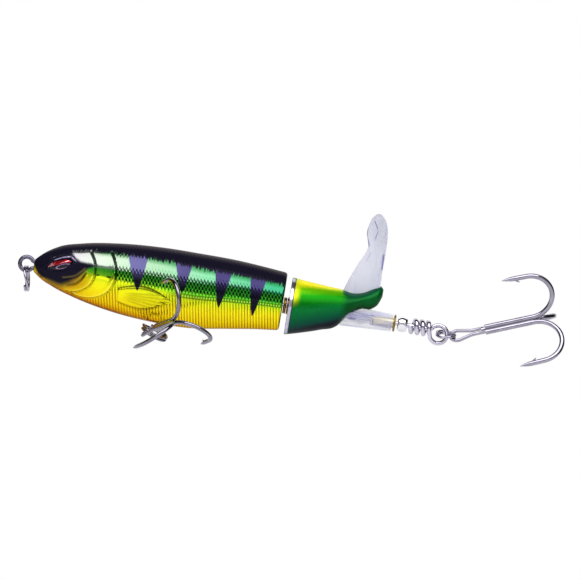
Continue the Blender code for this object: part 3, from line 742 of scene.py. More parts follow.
def body_paint():
    paint = Finish("body_paint", Coat_roughness=0.05, Coat_ior=1.3, Coat_weight=0.06, IOR=1.08)
    paint.set(Specular_tint=(0.50, 0.40, 0.36, 1.0))
    kept = ("height", "ink", "edge", "plain", "mask")
    height, ink, edge, plain, mask = (paint.attribute(name) for name in kept)
    fine = paint.noise(0.5, 3.0) - 0.5
    broad = paint.noise(5.0) - 0.5
    streak = paint.drawn_out((paint.x * 2.2, paint.z * 0.35, 0.0), "2D") - 0.5
    rear = paint.x.step(20, 62)
    flank = (height + broad * 0.05 + streak * 0.10 + rear * 0.20 + 1.0) * 0.5
    # The lowest stops darken the belly's lower edge to orange and then brown: painted shade on the underside.
    flank = flank.ramp(
        (0.0, rgb(103, 52, 7)), (0.02, rgb(150, 91, 7)), (0.05, rgb(221, 161, 9)),
        (0.12, rgb(236, 204, 14)), (0.36, rgb(240, 236, 24)), (0.455, rgb(220, 240, 29)),
        (0.51, rgb(122, 212, 38)), (0.58, rgb(62, 172, 40)), (0.70, rgb(38, 142, 46)),
    )
    band = (paint.x / BODY_REAR).ramp(
        (0.14, rgb(146, 139, 148)), (0.30, rgb(139, 150, 135)), (0.50, rgb(110, 139, 112)),
        (0.72, rgb(87, 141, 108)), (0.95, rgb(42, 119, 87)),
    )
    scales = (paint.x + paint.z * SCALE_LEAN).wave(SCALE_LONG) * paint.z.wave(2 * SCALE_HIGH)
    banded = height.step(-0.16, -0.02) * paint.x.step(22.5, 25)
    speck = (scales + fine * 0.9).step(-0.12, 0.16) * banded * height.step(0.34, 0.2)
    ribs = (paint.x + paint.z * RIB_LEAN).wave(RIB_PITCH)
    ribbed = height.step(-0.12, -0.3) * paint.x.step(*RIB_START) * (1 - plain)
    # Darker colour for the rib grooves, orange low down and olive higher up: painted shade.
    groove = paint.mix(height.step(-0.55, -0.2), rgb(164, 104, 8), rgb(96, 128, 12))
    row = (height + LATERAL).math("ABSOLUTE")
    lateral = row.step(0.075, 0.04) * paint.x.step(38, 44) * (1 - plain)
    dots = lateral * row.step(0.035, 0.015) * paint.x.wave(DOT_PITCH).step(-0.5, 0.2)
    jaw = paint.x.step(21, 13) * height.step(-0.05, -0.35)
    cheek_x, cheek_z = (paint.x - 14) * 0.25, (paint.z + 1.8) * 0.33
    cheek = (cheek_x * cheek_x + cheek_z * cheek_z).step(1.3, 0.2)
    over_line = height - (0.70 - rear * 0.15 + streak * 0.30 + fine * 0.08)
    fringe = (over_line + streak * 0.3).step(-0.16, -0.02) * paint.x.step(16, 22)
    cells = (scales + fine).step(0.0, 0.6) * height.step(0.2, 0.3) * height.step(0.52, 0.32)
    foil = paint.layered(
        flank,
        (height.step(0.16, 0.28), band),
        (speck * 0.96, rgb(2, 18, 6)),
        # Painted shade in the rib grooves.
        (ribs.step(0.3, -0.8) * ribbed * (0.78 + broad), groove),
        (lateral * 0.75, rgb(16, 84, 18)),
        (dots, rgb(176, 226, 60)),
        # Painted highlight along the gill plate edges and above the jaw lines.
        (edge * 0.85, rgb(252, 236, 60)),
        (jaw * 0.55 * (0.6 + broad), rgb(184, 116, 14)),
        (cheek * 0.6, rgb(182, 114, 12)),
        (fringe * 0.75, rgb(17, 95, 40)),
        (cells * paint.x.step(20, 26) * (0.3 + streak), rgb(28, 118, 55)),
    )
    dark = strongest((over_line.step(-0.03, 0.04), mask))
    lines = ink * (0.9 + height.step(-0.35, 0.05) * 0.1) * (1 - mask)
    violet = paint.mix(paint.x.step(28, 50), WEDGE_PALE, WEDGE_VIOLET)
    coat = paint.layered(
        foil,
        (lines, paint.mix(height.step(-0.35, 0.0), rgb(34, 22, 8), rgb(6, 30, 10))),
        (wedge_mask(paint, fine), paint.mix(height.step(0.0, 0.2), BACK_BLACK, violet)),
        (dark, BACK_BLACK),
        # The same painted highlight, dimmer, within the black mask.
        (mask * edge * 0.5, rgb(150, 130, 60)),
        # Painted highlight on the brow and the nostril.
        (strokes(paint, BROW_HIGHLIGHTS) * 0.85, rgb(186, 173, 210)),
        (strokes(paint, CHEEK_DASHES), rgb(8, 16, 10)),
    )
    paint.set(Base_color=coat, Metallic=0.88 - dark * 0.6, Roughness=0.13 + dark * 0.05 + fine * 0.04)
    paint.relief(scales * banded * 0.5 + 0.5 + ribs * ribbed * 0.25, 0.06)
    return paint.material


body_finish = body_paint()
for half_name, side in (("left_body_shell", -1), ("right_body_shell", 1)):
    dressed(body_shell(f"painted_{half_name}", side), "lure_body", body_finish, "body_paint", half_name)

# %% [markdown]
# ## Eyes
# Each eye is a clear almond lens with a red foil slash along its upper edge and a dark pupil below it. A
# sphere is flattened into an almond: its points keep their place along the eye, and the height shrinks to
# nothing at the ends.

# %% Shape and paint the eyes
EYE_BULGE, EYE_SUNK, EYE_LIE = 0.85, 0.55, 0.36
SLASH_PIXELS, SLASH_HALF = ((48.6, 265.4), (74, 259.9)), 0.52


def almond_eye(name, side):
    select_only()
    bpy.ops.mesh.primitive_uv_sphere_add(segments=48, ring_count=24, radius=1.0)
    made = named(name)
    centre_x, centre_z = EYE_PLACE
    middle, half_height, half_width = body_section(np.array([centre_x]))
    skin = float((half_width * np.sqrt(1 - ((centre_z - middle) / half_height) ** 2))[0])
    for vertex in made.data.vertices:
        along, deep, across = vertex.co.x, vertex.co.y, vertex.co.z
        round_half = math.sqrt(max(1e-6, 1 - along * along))
        lid = BROW_FLAT * (1 - along ** 4) if across > 0 else 1 - along * along
        across *= lid / round_half
        x = along * EYE_HALF[0] * math.cos(EYE_TILT) - across * EYE_HALF[1] * math.sin(EYE_TILT)
        z = along * EYE_HALF[0] * math.sin(EYE_TILT) + across * EYE_HALF[1] * math.cos(EYE_TILT)
        y = skin - EYE_SUNK + x * EYE_LIE + deep * EYE_BULGE
        vertex.co = Vector((centre_x + x, side * y, centre_z + z)) * MM
    in_edit_mode(made, weld, face_outwards)
    smooth(made, 60)
    return made


def eye_paint():
    paint = Finish("eye_lens", Roughness=0.14, IOR=1.35)
    along, across = eye_frame(paint.x, paint.z)
    glitter = paint.noise(0.35, 4.0)
    run, off, length = line_frame(paint, *SLASH_PIXELS)
    run = run / length
    half = SLASH_HALF - run * 0.12
    slash = (half - off.math("ABSOLUTE")).step(-0.06, 0.06) * run.step(-0.05, 0.0) * run.step(1.02, 0.94)
    # Painted highlights: a white glint line across the slash, and pale glints at its left end.
    glint_line = (off + 0.25 - (run - 0.5) * 0.6).math("ABSOLUTE").step(0.10, 0.03) * run.step(0.45, 0.6)
    eye_glints = strongest((glitter.step(0.44, 0.60) * run.step(0.34, 0.16), glint_line))
    red = paint.mix(glitter.step(0.42, 0.70), rgb(150, 6, 18), rgb(232, 40, 52))
    red = paint.mix(eye_glints, red, rgb(255, 196, 206))
    pupil = ((along - 0.24) * (along - 0.24) / 0.28 + (across + 0.40) * (across + 0.40) / 0.13).math("SQRT")
    ring = (pupil - 1.0).math("ABSOLUTE").step(0.20, 0.06)
    dark = paint.mix(ring * 0.8, rgb(12, 10, 18), rgb(150, 118, 160))
    paint.set(Base_color=paint.mix(slash, dark, red), Metallic=slash * 0.7)
    return paint.material


eye_finish = eye_paint()
for eye_name, side in (("left_eye", -1), ("right_eye", 1)):
    dressed(almond_eye(f"almond_{eye_name}", side), "lure_body", eye_finish, "eye_lens", eye_name)

# %% [markdown]
# ## Bright wire
# Line tie, hanger, shaft, rings and hooks are all round wire bent on a former. Rings and cylinders could be
# joined for it, but a curve with a round bevel bends as the wire does, and it becomes a mesh when its bends
# are right.

# %% Bend a wire
def bent_wire(name, points, diameter, radii=None, sides=16):
    """A round wire through points in millimetres, as a welded mesh."""
    data = bpy.data.curves.new(name, "CURVE")
    data.dimensions = "3D"
    data.bevel_depth = diameter / 2 * MM
    data.bevel_resolution = sides // 2 - 2
    data.use_fill_caps = True
    spline = data.splines.new("POLY")
    spline.points.add(len(points) - 1)
    for i, point in enumerate(points):
        spline.points[i].co = (*(Vector(point) * MM), 1.0)
        spline.points[i].radius = radii[i] if radii else 1.0
    select_only(linked(name, data))
    bpy.ops.object.convert(target="MESH")
    made = bpy.context.object
    in_edit_mode(made, weld, face_outwards)
    smooth(made, 50)
    return made


def arc(centre, radius, first, last, count):
    angles = np.radians(np.linspace(first, last, count))
    return [(centre[0] + radius * math.cos(a), centre[1] + radius * math.sin(a)) for a in angles]


def united(name, pieces):
    """Joins overlapping pieces into one closed mesh."""
    whole = pieces[0]
    for i, piece in enumerate(pieces[1:]):
        join = whole.modifiers.new(f"join_{i}", "BOOLEAN")
        join.operation = "UNION"
        join.object = piece
    apply_modifiers(whole)
    for piece in pieces[1:]:
        bpy.data.objects.remove(piece, do_unlink=True)
    whole.name = name
    in_edit_mode(whole, weld, drop_slivers)
    smooth(whole, 40)
    return whole


# %% Mix the metals
def metal(name, tone, roughness, scratch=0.04):
    """Plated wire: even metal with faint blots in its polish."""
    finish = Finish(name, Metallic=1.0)
    cloud = finish.noise(3.0, 3.0)
    grain = finish.noise(0.25, 2.0)
    shade = tuple(channel * 0.80 for channel in tone[:3]) + (1.0,)
    finish.set(Base_color=finish.mix(cloud.step(0.35, 0.7), tone, shade))
    finish.set(Roughness=roughness + (cloud - 0.5) * scratch + (grain - 0.5) * scratch)
    finish.relief(grain, 0.004)
    print(f"{name}: roughness about {roughness}")
    return finish.material


NICKEL = metal("nickel_wire", rgb(205, 201, 216), 0.09)
# The same nickel wire, darker for the line tie: painted shade.
SHADED_NICKEL = metal("shaded_nickel_wire", rgb(115, 111, 129), 0.12)
RING_STEEL = metal("ring_steel", rgb(175, 170, 186), 0.10)
# The hook steel, darker for the belly hook and its ring: painted shade.
SHADED_BELLY_STEEL = metal("shaded_belly_steel", rgb(140, 135, 148), 0.13)
HOOK_STEEL = metal("hook_steel", rgb(164, 160, 174), 0.08)
CHROME = metal("bead_chrome", rgb(236, 235, 240), 0.08, 0.02)
# Brass darkened for the washer and front bush, which sit in the gap behind the body: painted shade.
SHADED_BRASS = metal("shaded_bush_brass", rgb(142, 105, 43), 0.25)
BALLAST = metal("ballast_lead", rgb(120, 120, 124), 0.45, 0.2)

# %% Line tie and hanger
NOSE_EYE_RADIUS, NOSE_EYE_WIRE = 1.85, 1.15
HANGER_PLACE, HANGER_RADIUS, HANGER_WIRE = (38.4, -12.0), 1.75, 0.85
LEG_SPACING, FOOT_BEND = 1.6, 0.4


def omega(radius, leg_end, foot):
    """A loop about the origin with two legs along +u that end in feet bent apart."""
    leg = LEG_SPACING / 2
    opening = math.degrees(math.asin(leg / radius))
    loop = arc((0, 0), radius, opening + 8, 352 - opening, 48)
    bend = [(leg_end - FOOT_BEND * u, leg + FOOT_BEND * v) for u, v in ((0.0, 1.0), (0.3, 0.3), (1.0, 0.0))]
    start = [(leg_end, leg + foot), *bend, (radius + 0.3, leg)]
    return start + loop + [(u, -v) for u, v in reversed(start)]


line_tie_points = [(u, 0, v) for u, v in omega(NOSE_EYE_RADIUS, leg_end=8.5, foot=2.0)]
line_tie = bent_wire("line_tie_eye", line_tie_points, NOSE_EYE_WIRE)
dressed(line_tie, "lure_body", SHADED_NICKEL, "tinned_wire", "nose_eye")
hanger_x, hanger_z = HANGER_PLACE
hanger_points = [(hanger_x, v, hanger_z + u) for u, v in omega(HANGER_RADIUS, leg_end=5.4, foot=1.9)]
hanger = bent_wire("belly_wire", hanger_points, HANGER_WIRE)
dressed(hanger, "lure_body", NICKEL, "tinned_wire", "belly_hanger")

# %% Split rings
RING_WIRE, BELLY_RING_WIRE, RING_GAP, RING_STEP = 0.64, 0.72, 0.04, 38
BELLY_RING_CENTRE = (37.1, -3.0, -12.7)


def split_ring(name, centre, radius, toward, normal, wire=RING_WIRE):
    """Two turns of one wire side by side, stepping across away from the carrier."""
    axis = Vector(normal).normalized()
    out = Vector(toward)
    out = (out - axis * out.dot(axis)).normalized()
    across = axis.cross(out)
    points = []
    for degrees in np.arange(RING_STEP, 720 - RING_STEP + 1e-6, 7.5).tolist():
        t = min(1.0, max(0.0, (degrees - 360 + RING_STEP) / (2 * RING_STEP)))
        shift = (wire + RING_GAP) * (t * t * (3 - 2 * t) - 0.5)
        a = math.radians(degrees + 90)
        points.append(Vector(centre) + radius * (math.cos(a) * out + math.sin(a) * across) + shift * axis)
    return bent_wire(name, points, wire)


line_ring = split_ring(
    "line_ring_coil", centre=(0.62, 0, -3.95), radius=3.25,
    toward=(-math.sin(SLOPE), 0, math.cos(SLOPE)), normal=(math.cos(SLOPE), 0, math.sin(SLOPE)),
)
dressed(line_ring, "line_ring", RING_STEEL, "split_ring", "line_tie_ring")
to_hanger = Vector((hanger_x, 0, hanger_z)) - Vector(BELLY_RING_CENTRE)
belly_ring = split_ring(
    "belly_ring_coil", centre=BELLY_RING_CENTRE, radius=3.55,
    toward=to_hanger, normal=(0.36, -0.23, 0.90), wire=BELLY_RING_WIRE,
)
dressed(belly_ring, "belly_ring", SHADED_BELLY_STEEL, "split_ring", "belly_split_ring")
tail_ring = split_ring(
    "tail_ring_coil", centre=(114.78, 0, -0.9), radius=2.5, toward=(-1, 0, 0), normal=(0, -0.26, 0.97)
)
dressed(tail_ring, "tail_ring", RING_STEEL, "split_ring", "tail_split_ring")

# %% [markdown]
# ## Treble hooks
# A treble is three hooks brazed along one shank, with an eye of thinner wire. Each hook is one wire: shank,
# round bend, and a point that tapers, with a small barb cut up from it. A Boolean union fuses the wires as
# the braze does.

# %% Bend the trebles
HOOK_WIRE, HOOK_OFFSET, HOOK_EYE_WIRE, HOOK_CORE = 1.4, 0.8, 0.95, 2.0
HOOK_SHANK, HOOK_BEND, HOOK_TIP = (7.6, 13.0), (20.9, 7.05), (14.3, 13.5)
HOOK_EYE_END, HOOK_EYE_NECK = (8.4, 0.54), 3.7
POINT_TAPER = ((0.35, 1.0), (0.6, 0.9), (0.8, 0.55), (1.0, 0.1))
BARB_WIRE = 0.7


def hook_line(scale):
    """Place along the shank and distance from it, with the wire's share of its full thickness."""
    radius = HOOK_BEND[1] - HOOK_OFFSET
    line = [(s, HOOK_OFFSET) for s in HOOK_SHANK] + arc(HOOK_BEND, radius, -90, 92, 36)
    last, tip = Vector(line[-1]), Vector(HOOK_TIP)
    radii = [1.0] * len(line) + [thickness for t, thickness in POINT_TAPER]
    line += [tuple(last.lerp(tip, t)) for t, thickness in POINT_TAPER]
    return [(s * scale, r * scale) for s, r in line], radii


def square_to(vector, along):
    vector = Vector(vector)
    return (vector - along * vector.dot(along)).normalized()


def treble(name, eye, shank, roll_from, roll, scale, eye_axis, eye_size):
    """Three hooks with barbs, eye and braze as one mesh; the first is turned roll degrees from roll_from."""
    along = Vector(shank).normalized()
    side = square_to(roll_from, along)
    up = side.cross(along)
    start = Vector(eye)
    diameter = HOOK_WIRE * scale
    line, radii = hook_line(scale)
    pieces = []
    for i in range(3):
        a = math.radians(roll + 120 * i)
        out = math.cos(a) * side + math.sin(a) * up
        points = [start + s * along + r * out for s, r in line]
        pieces.append(bent_wire(f"{name}_hook_{i}", points, diameter, radii))
        tip, before = points[-1], points[-len(POINT_TAPER)]
        way = (tip - before).normalized()
        barb = [before.lerp(tip, 0.25), before.lerp(tip, 0.12) - out * diameter - way * diameter * 0.8]
        pieces.append(bent_wire(f"{name}_barb_{i}", barb, diameter * BARB_WIRE, [1.0, 0.15], sides=10))
    long, wide = eye_size
    across = square_to(eye_axis, along).cross(along)
    legs_end, half = HOOK_EYE_END
    outline = [(long * math.cos(a), wide * math.sin(a)) for a in np.radians(np.linspace(80, 280, 27))]
    half *= scale
    neck = [(legs_end * scale, half), (HOOK_EYE_NECK + 0.6, half), (HOOK_EYE_NECK, half + 0.04)]
    outline = neck + outline + [(u, -v) for u, v in reversed(neck)]
    loop = [start + u * along + v * across for u, v in outline]
    pieces.append(bent_wire(f"{name}_eye", loop, HOOK_EYE_WIRE * scale))
    core = [start + (HOOK_SHANK[0] - HOOK_CORE / 2) * scale * along, start + HOOK_BEND[0] * scale * along]
    pieces.append(bent_wire(f"{name}_core", core, HOOK_CORE * scale))
    return united(name, pieces)


belly_hook = treble(
    "belly_treble", eye=(35.2, -6.0, -12.85), shank=(0.40, -0.89, 0.23), roll_from=(-1, 0, 0), roll=73,
    scale=0.84, eye_axis=(0.735, 0.16, -0.66), eye_size=(1.9, 1.5),
)
dressed(belly_hook, "belly_hook", SHADED_BELLY_STEEL, "hook_steel", "belly_treble_hook")
rise = math.radians(21.2)
tail_hook = treble(
    "tail_treble", eye=(117.9, 0, -0.6), shank=(math.cos(rise), 0, math.sin(rise)), roll_from=(0, -1, 0),
    roll=63, scale=1.0, eye_axis=(0, -1, 0), eye_size=(1.85, 1.3),
)
dressed(tail_hook, "tail_hook", HOOK_STEEL, "hook_steel", "tail_treble_hook")

# %% [markdown]
# ## Tail shaft
# One wire runs from its foot in the body, through the tail and the bead, round the rear loop, and back over
# itself in three open wraps. Arcs and a helix give one list of points, so it stays a single wire.

# %% Wind the shaft
SHAFT_WIRE, SHAFT_FOOT = 1.2, (61.5, 3.4)
SHAFT_LOOP, SHAFT_LOOP_RADIUS = (112.7, -1.1), 2.4
WRAP_RADIUS, WRAP_PITCH, WRAP_TURNS, WRAP_START = 1.7, 1.7, 3, 109.9
WRAP_STEPS, WRAP_LEAD = 36, 0.1
SHAFT_BEND, LOOP_SWAY = 0.8, 0.25


def shaft_points():
    """The shaft's middle line, from its foot to the end of the last wrap."""
    foot_x, foot_z = SHAFT_FOOT
    points = [(foot_x, 0, foot_z)]
    points += [(x, 0, z) for x, z in arc((foot_x + SHAFT_BEND, SHAFT_BEND), SHAFT_BEND, 180, 270, 8)]
    points += [(x, 0, 0) for x in np.linspace(BODY_REAR, WRAP_START, 4)]
    for x, z in arc(SHAFT_LOOP, SHAFT_LOOP_RADIUS, 150, -150, 40):
        points.append((x, -LOOP_SWAY * max(0.0, SHAFT_LOOP[0] - x) * (z < SHAFT_LOOP[1]), z))
    for turn in np.linspace(-WRAP_LEAD, WRAP_TURNS, WRAP_TURNS * WRAP_STEPS + 3):
        a = 2 * math.pi * turn
        x = WRAP_START + WRAP_LEAD - WRAP_PITCH * turn
        points.append((x, -WRAP_RADIUS * math.cos(a), WRAP_RADIUS * math.sin(a)))
    return points


shaft = bent_wire("wrapped_shaft", shaft_points(), SHAFT_WIRE)
dressed(shaft, "lure_body", NICKEL, "tinned_wire", "tail_shaft")

# %% [markdown]
# ## Spinning tail
# The tail is one moulding: a cup behind the body, a foot that sweeps up, a twisted blade on the foot and a
# sleeve round the shaft. Cup and foot are painted, blade and sleeve are left clear, so here they are
# separate pieces. The clear ones let light through by their alpha, which keeps them as pale as thin plastic
# before white.

# %% Cup and foot
TAIL_STATIONS = (
    (71.5, -7.85, 7.85, 7.85),
    (76.0, -6.6, 7.4, 7.0),
    (81.0, -5.0, 7.0, 6.0),
    (85.2, -3.3, 6.7, 5.2),
    (88.0, 0.1, 6.2, 4.7),
    (91.0, 2.3, 6.8, 4.2),
    (94.0, 2.9, 8.5, 3.6),
    (95.5, 4.5, 9.2, 2.6),
    (96.2, 6.3, 8.6, 1.2),
)
CUP_FRONT = TAIL_STATIONS[0][0]
CUP_DEEP, CUP_WALL, CUP_BORE, RIM_ROUND = 3.0, 1.3, 1.7, 0.3
BOSS_RADIUS, BOSS_BACK, BOSS_EDGE = 2.6, 0.5, 0.15


def cup_ring(x, inset=0.0):
    bottom, top, half = (float(through(TAIL_STATIONS, i, np.array([x]))[0]) for i in (1, 2, 3))
    return x, (top + bottom) / 2, (top - bottom) / 2 - inset, half - inset


def cup_rings():
    """Rings from the bore in the boss over the cup's floor and wall, round the rim and back to the foot."""
    front, floor_x = CUP_FRONT, CUP_FRONT + CUP_DEEP
    boss = front + BOSS_BACK
    rings = [(boss, 0, r, r) for r in (CUP_BORE, BOSS_RADIUS - BOSS_EDGE)]
    rings += [(x, 0, BOSS_RADIUS, BOSS_RADIUS) for x in (boss + BOSS_EDGE, floor_x)]
    inner = ((floor_x, CUP_WALL), (front + RIM_ROUND, CUP_WALL), (front, CUP_WALL - RIM_ROUND))
    rim = ((front, 0.25), (front + 0.12, 0.06))
    rings += [cup_ring(x, inset) for x, inset in inner + rim]
    rings += [cup_ring(x) for x in np.linspace(front + 0.35, TAIL_STATIONS[-1][0] - 0.3, 90)]
    x, middle, high, wide = cup_ring(TAIL_STATIONS[-1][0])
    rings += [(x, middle, high * k, wide * k) for k in (0.9, 0.7, 0.4, 0.02)]
    return np.array(rings)


def tube_of(name, rings, around):
    """A skin through elliptical rings of place, middle height, half height and half width."""
    count = np.arange(len(rings))

    def place(u, v):
        ring = u * (len(rings) - 1)
        x, middle, high, wide = (np.interp(ring, count, rings[:, i]) for i in range(4))
        angle = 2 * math.pi * v
        return x, -wide * np.sin(angle), middle - high * np.cos(angle)

    made = wrapped(name, len(rings) - 1, around, place)
    in_edit_mode(made, weld, close_ends, face_outwards)
    smooth(made, 40)
    return made


cup = tube_of("painted_cup", cup_rings(), 96)
print("cup and foot:", len(cup.data.vertices), "points")


# %% Paint the cup and the foot
def tail_paint():
    paint = Finish("tail_paint", Coat_roughness=0.08, Coat_ior=1.3, Coat_weight=0.1, IOR=1.18)
    paint.set(Specular_tint=(0.4, 0.5, 0.4, 1.0))
    cloud = paint.noise(4.0, 3.0) - 0.5
    flake = paint.noise(0.3, 2.0)
    back = paint.x - CUP_FRONT
    level = (paint.z + 8.0 - back * 0.42) / (14.5 - back * 0.38) + cloud * 0.05
    green = level.ramp(
        (0.0, rgb(16, 14, 29)), (0.04, rgb(19, 21, 36)), (0.15, rgb(7, 69, 53)),
        (0.45, rgb(5, 108, 49)), (0.58, rgb(0, 101, 12)), (0.76, rgb(16, 136, 0)),
        (0.90, rgb(106, 182, 0)), (0.98, rgb(243, 227, 12)),
    )
    front = paint.x.step(74.8, 72.6) * level.step(0.50, 0.75)
    foot_tone = paint.mix((paint.z - 4.0).step(-2.5, 3.0), rgb(5, 71, 25), rgb(10, 92, 38))
    rise = paint.x - 88.0
    rim = (paint.z - 6.15 - rise * rise * 0.062).step(-1.25, -0.8) * paint.x.step(85.0, 86.0)
    green = paint.layered(
        green,
        (front, rgb(214, 218, 23)),
        (flake.step(0.50, 0.72) * level.step(0.2, 0.4) * 0.35, rgb(34, 145, 34)),
        (paint.x.step(85.0, 87.5), foot_tone),
        (rim * 0.85, rgb(7, 77, 58)),
    )
    bare = paint.x.step(72.75, 72.55)
    depth = (paint.y * paint.y + paint.z * paint.z).math("SQRT")
    # Painted shade: inside the cup, under its rim, the surface is near black.
    inside = depth.step(6.5, 6.2) * paint.x.step(75.0, 74.8)
    silver = paint.layered(
        paint.mix(cloud.step(-0.2, 0.2), rgb(213, 210, 228), rgb(163, 161, 182)),
        (paint.x.step(72.3, 72.5), rgb(40, 38, 50)),
        # near black inside the cup: painted shade.
        (inside, rgb(22, 20, 30)),
    )
    paint.set(Base_color=paint.mix(strongest((bare, inside)), green, silver))
    paint.set(Metallic=0.5 + bare * 0.45, Roughness=0.42 - bare * 0.24 + (flake - 0.5) * 0.14)
    paint.relief(flake, 0.01)
    return paint.material


dressed(cup, "tail", tail_paint(), "tail_plastic", "spinning_tail")

# %% Blade
BLADE_STATIONS = (
    (4.6, 84.9, 95.0, 16, 1.7),
    (9.6, 86.5, 95.2, 20, 1.5),
    (14.0, 88.2, 95.1, 26, 1.35),
    (19.4, 90.3, 95.2, 34, 1.2),
    (22.8, 89.4, 95.0, 42, 1.1),
    (25.6, 89.7, 94.4, 46, 1.0),
    (27.4, 90.4, 93.5, 48, 0.9),
    (28.4, 91.3, 92.5, 48, 0.8),
)
BLADE_CAMBER = 0.14


def blade_place(u, v):
    """u climbs the blade; v runs round it: leading edge, near face, trailing edge, far face."""
    low, high = BLADE_STATIONS[0][0], BLADE_STATIONS[-1][0]
    z = low + (high - low) * u
    lead, trail, pitch, thick = (through(BLADE_STATIONS, i, z) for i in range(1, 5))
    middle, half = (lead + trail) / 2, (trail - lead) / 2
    angle = 2 * math.pi * v
    t = -np.cos(angle)
    cup = -np.tan(np.radians(pitch)) * t * half + BLADE_CAMBER * half * 2 * (1 - t * t)
    return middle + t * half, cup - thick / 2 * np.sin(angle), z


# Painted shade on the blade: darker violet strokes at its right edge and along the crease of its tip.
BLADE_SHADE_MARKS = (
    ((367.6, 238.5), (369.4, 246.5), 0.20), ((383.6, 254), (381.6, 271), 0.26),
    ((374.6, 220), (378.2, 230), 0.10), ((378.6, 231), (374.6, 240), 0.08),
    ((368.2, 222), (367.3, 237), 0.08), ((366, 262), (371, 252), 0.06),
)
FLOW_LONG, FLOW_WIDE = 0.10, 0.55


def clear_plastic(name, roughness, along, density, cloudy, marks):
    """Clear moulding: a see-through skin with a lavender cast, soft flow marks along the moulding, and darker
    violet strokes of painted shade.
    """
    finish = Finish(name, IOR=1.46)
    places = zip("xyz", (finish.x, finish.y, finish.z))
    flow = finish.drawn_out([place * (FLOW_LONG if axis == along else FLOW_WIDE) for axis, place in places])
    streak = flow.step(0.40, 0.72) * cloudy
    shade_strokes = strokes(finish, marks)
    body = finish.mix(streak, rgb(201, 203, 218), rgb(169, 168, 205))
    body = finish.mix(shade_strokes, body, rgb(112, 106, 160))
    streak = strongest((streak, shade_strokes * 0.9))
    finish.set(Base_color=body, Alpha=density + streak * 0.42, Roughness=roughness + (flow - 0.5) * 0.12)
    finish.relief(flow, 0.03)
    return finish.material


blade = wrapped("clear_blade", 90, 64, blade_place)
in_edit_mode(blade, weld, close_ends, face_outwards)
smooth(blade, 50)
blade_finish = clear_plastic("blade_plastic", 0.18, along="z", density=0.55, cloudy=0.35, marks=BLADE_SHADE_MARKS)
dressed(blade, "tail", blade_finish, "tail_plastic")

# %% [markdown]
# ## Turned pieces on the shaft
# Sleeve, bushes, washer and bead are all turned. Cylinders with bevelled edges would do, but one outline
# spun round the shaft's axis gives bore, flange and rounded edge in one go.

# %% Spin an outline
SPIN_STEPS = 64


def spun(name, outline):
    """A closed outline of place and radius, spun about X."""
    select_only()
    bpy.ops.mesh.primitive_circle_add(vertices=len(outline), radius=1.0)
    made = named(name)
    for vertex, (x, radius) in zip(made.data.vertices, outline):
        vertex.co = (x * MM, 0.0, radius * MM)

    def turn_round():
        bpy.ops.mesh.spin(steps=SPIN_STEPS, angle=2 * math.pi, center=(0, 0, 0), axis=(1, 0, 0))

    in_edit_mode(made, turn_round, weld, face_outwards)
    smooth(made, 35)
    return made


# %% Sleeve and bushes
SHAFT_BORE = 0.9
SLEEVE_OUTLINE = (
    (86.0, 1.05), (86.0, 2.95), (93.0, 2.66), (99.6, 2.4), (99.8, 2.35), (99.9, 2.2),
    (99.9, 1.65), (93.95, 1.65), (93.9, 1.05),
)
# Painted shade on the sleeve: darker violet streaks along it and one across it where the bush begins.
SLEEVE_SHADE_MARKS = (
    ((351, 311.5), (374, 316), 0.16), ((347, 318), (356, 319), 0.3), ((344, 326), (362, 330.4), 0.2),
    ((372.6, 318), (372.2, 325), 0.14),
)
BUSH_RADII = (SHAFT_BORE, 2.15, 2.3, 2.3, 1.4, 1.4, SHAFT_BORE)
FRONT_BUSH = (71.1, 71.1, 71.2, 71.7, 71.75, 77.0, 77.0)
REAR_BUSH = (100.8, 100.8, 100.7, 100.3, 100.2, 94.2, 94.2)


def lit_pale_bush():
    """The rear bush: its barrel in the sleeve painted pale cream, as the brass looks lit through the clear
    plastic, and a gold flange outside it.
    """
    finish = Finish("bush_lit_pale", Metallic=0.55, Roughness=0.3)
    barrel = finish.mix(finish.noise(1.5), rgb(246, 234, 190), rgb(226, 208, 156))
    flange = finish.x.step(100.1, 100.2)
    finish.set(Base_color=finish.mix(flange, barrel, rgb(120, 98, 48)))
    return finish.material


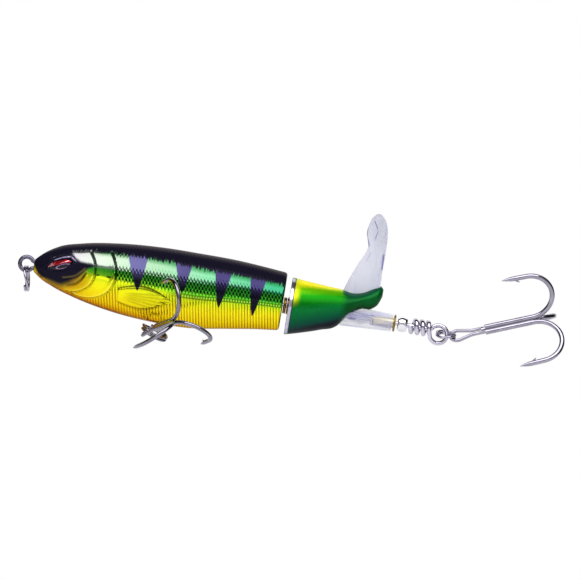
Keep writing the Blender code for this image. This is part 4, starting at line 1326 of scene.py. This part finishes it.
sleeve_finish = clear_plastic("sleeve_plastic", 0.10, along="x", density=0.22, cloudy=1.0, marks=SLEEVE_SHADE_MARKS)
dressed(spun("clear_sleeve", SLEEVE_OUTLINE), "tail", sleeve_finish, "tail_plastic")
front_bush = spun("front_brass_bush", tuple(zip(FRONT_BUSH, BUSH_RADII)))
dressed(front_bush, "tail", SHADED_BRASS, "brass", "front_tail_bush")
rear_bush = spun("rear_brass_bush", tuple(zip(REAR_BUSH, BUSH_RADII)))
dressed(rear_bush, "tail", lit_pale_bush(), "brass", "rear_tail_bush")

# %% Washer and bead
WASHER_ENDS, WASHER_RADIUS, WASHER_EDGE = (70.15, 70.98), 2.2, 0.12
BEAD_ENDS, BEAD_RADIUS = (101.4, 104.0), 2.1


def rounded_edge(end, inward):
    """Half of the washer's outline, from the bore up to its rounded edge."""
    steps = ((0.0, 1.0), (0.3, 0.3), (1.0, 0.0))
    edge = [(end + inward * WASHER_EDGE * u, WASHER_RADIUS - WASHER_EDGE * v) for u, v in steps]
    return [(end, SHAFT_BORE)] + edge


washer_outline = rounded_edge(WASHER_ENDS[0], 1) + rounded_edge(WASHER_ENDS[1], -1)[::-1]
dressed(spun("brass_washer", washer_outline), "washer", SHADED_BRASS, "brass", "thrust_washer")
bead_middle, bead_half = sum(BEAD_ENDS) / 2, (BEAD_ENDS[1] - BEAD_ENDS[0]) / 2
bead_angles = np.linspace(-1, 1, 25) * math.asin(bead_half / BEAD_RADIUS)
bead_outline = [(bead_middle + BEAD_RADIUS * math.sin(a), BEAD_RADIUS * math.cos(a)) for a in bead_angles]
bead_outline += [(BEAD_ENDS[1], SHAFT_BORE), (BEAD_ENDS[0], SHAFT_BORE)]
dressed(spun("chrome_bead", bead_outline), "bead", CHROME, "bead", "thrust_bead")

# %% [markdown]
# ## Pieces that stay inside
# Slugs and rattle balls are never seen, so their solids stay as they are and only get their metal.

# %% Dress the inner solids
for node, finish in (
    ("front_ballast_slug", BALLAST),
    ("rear_ballast_slug", BALLAST),
    ("front_rattle_ball", CHROME),
    ("rear_rattle_ball", CHROME),
):
    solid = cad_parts[node]
    solid.data.materials.clear()
    solid.data.materials.append(finish)
    print(node, "keeps its solid")
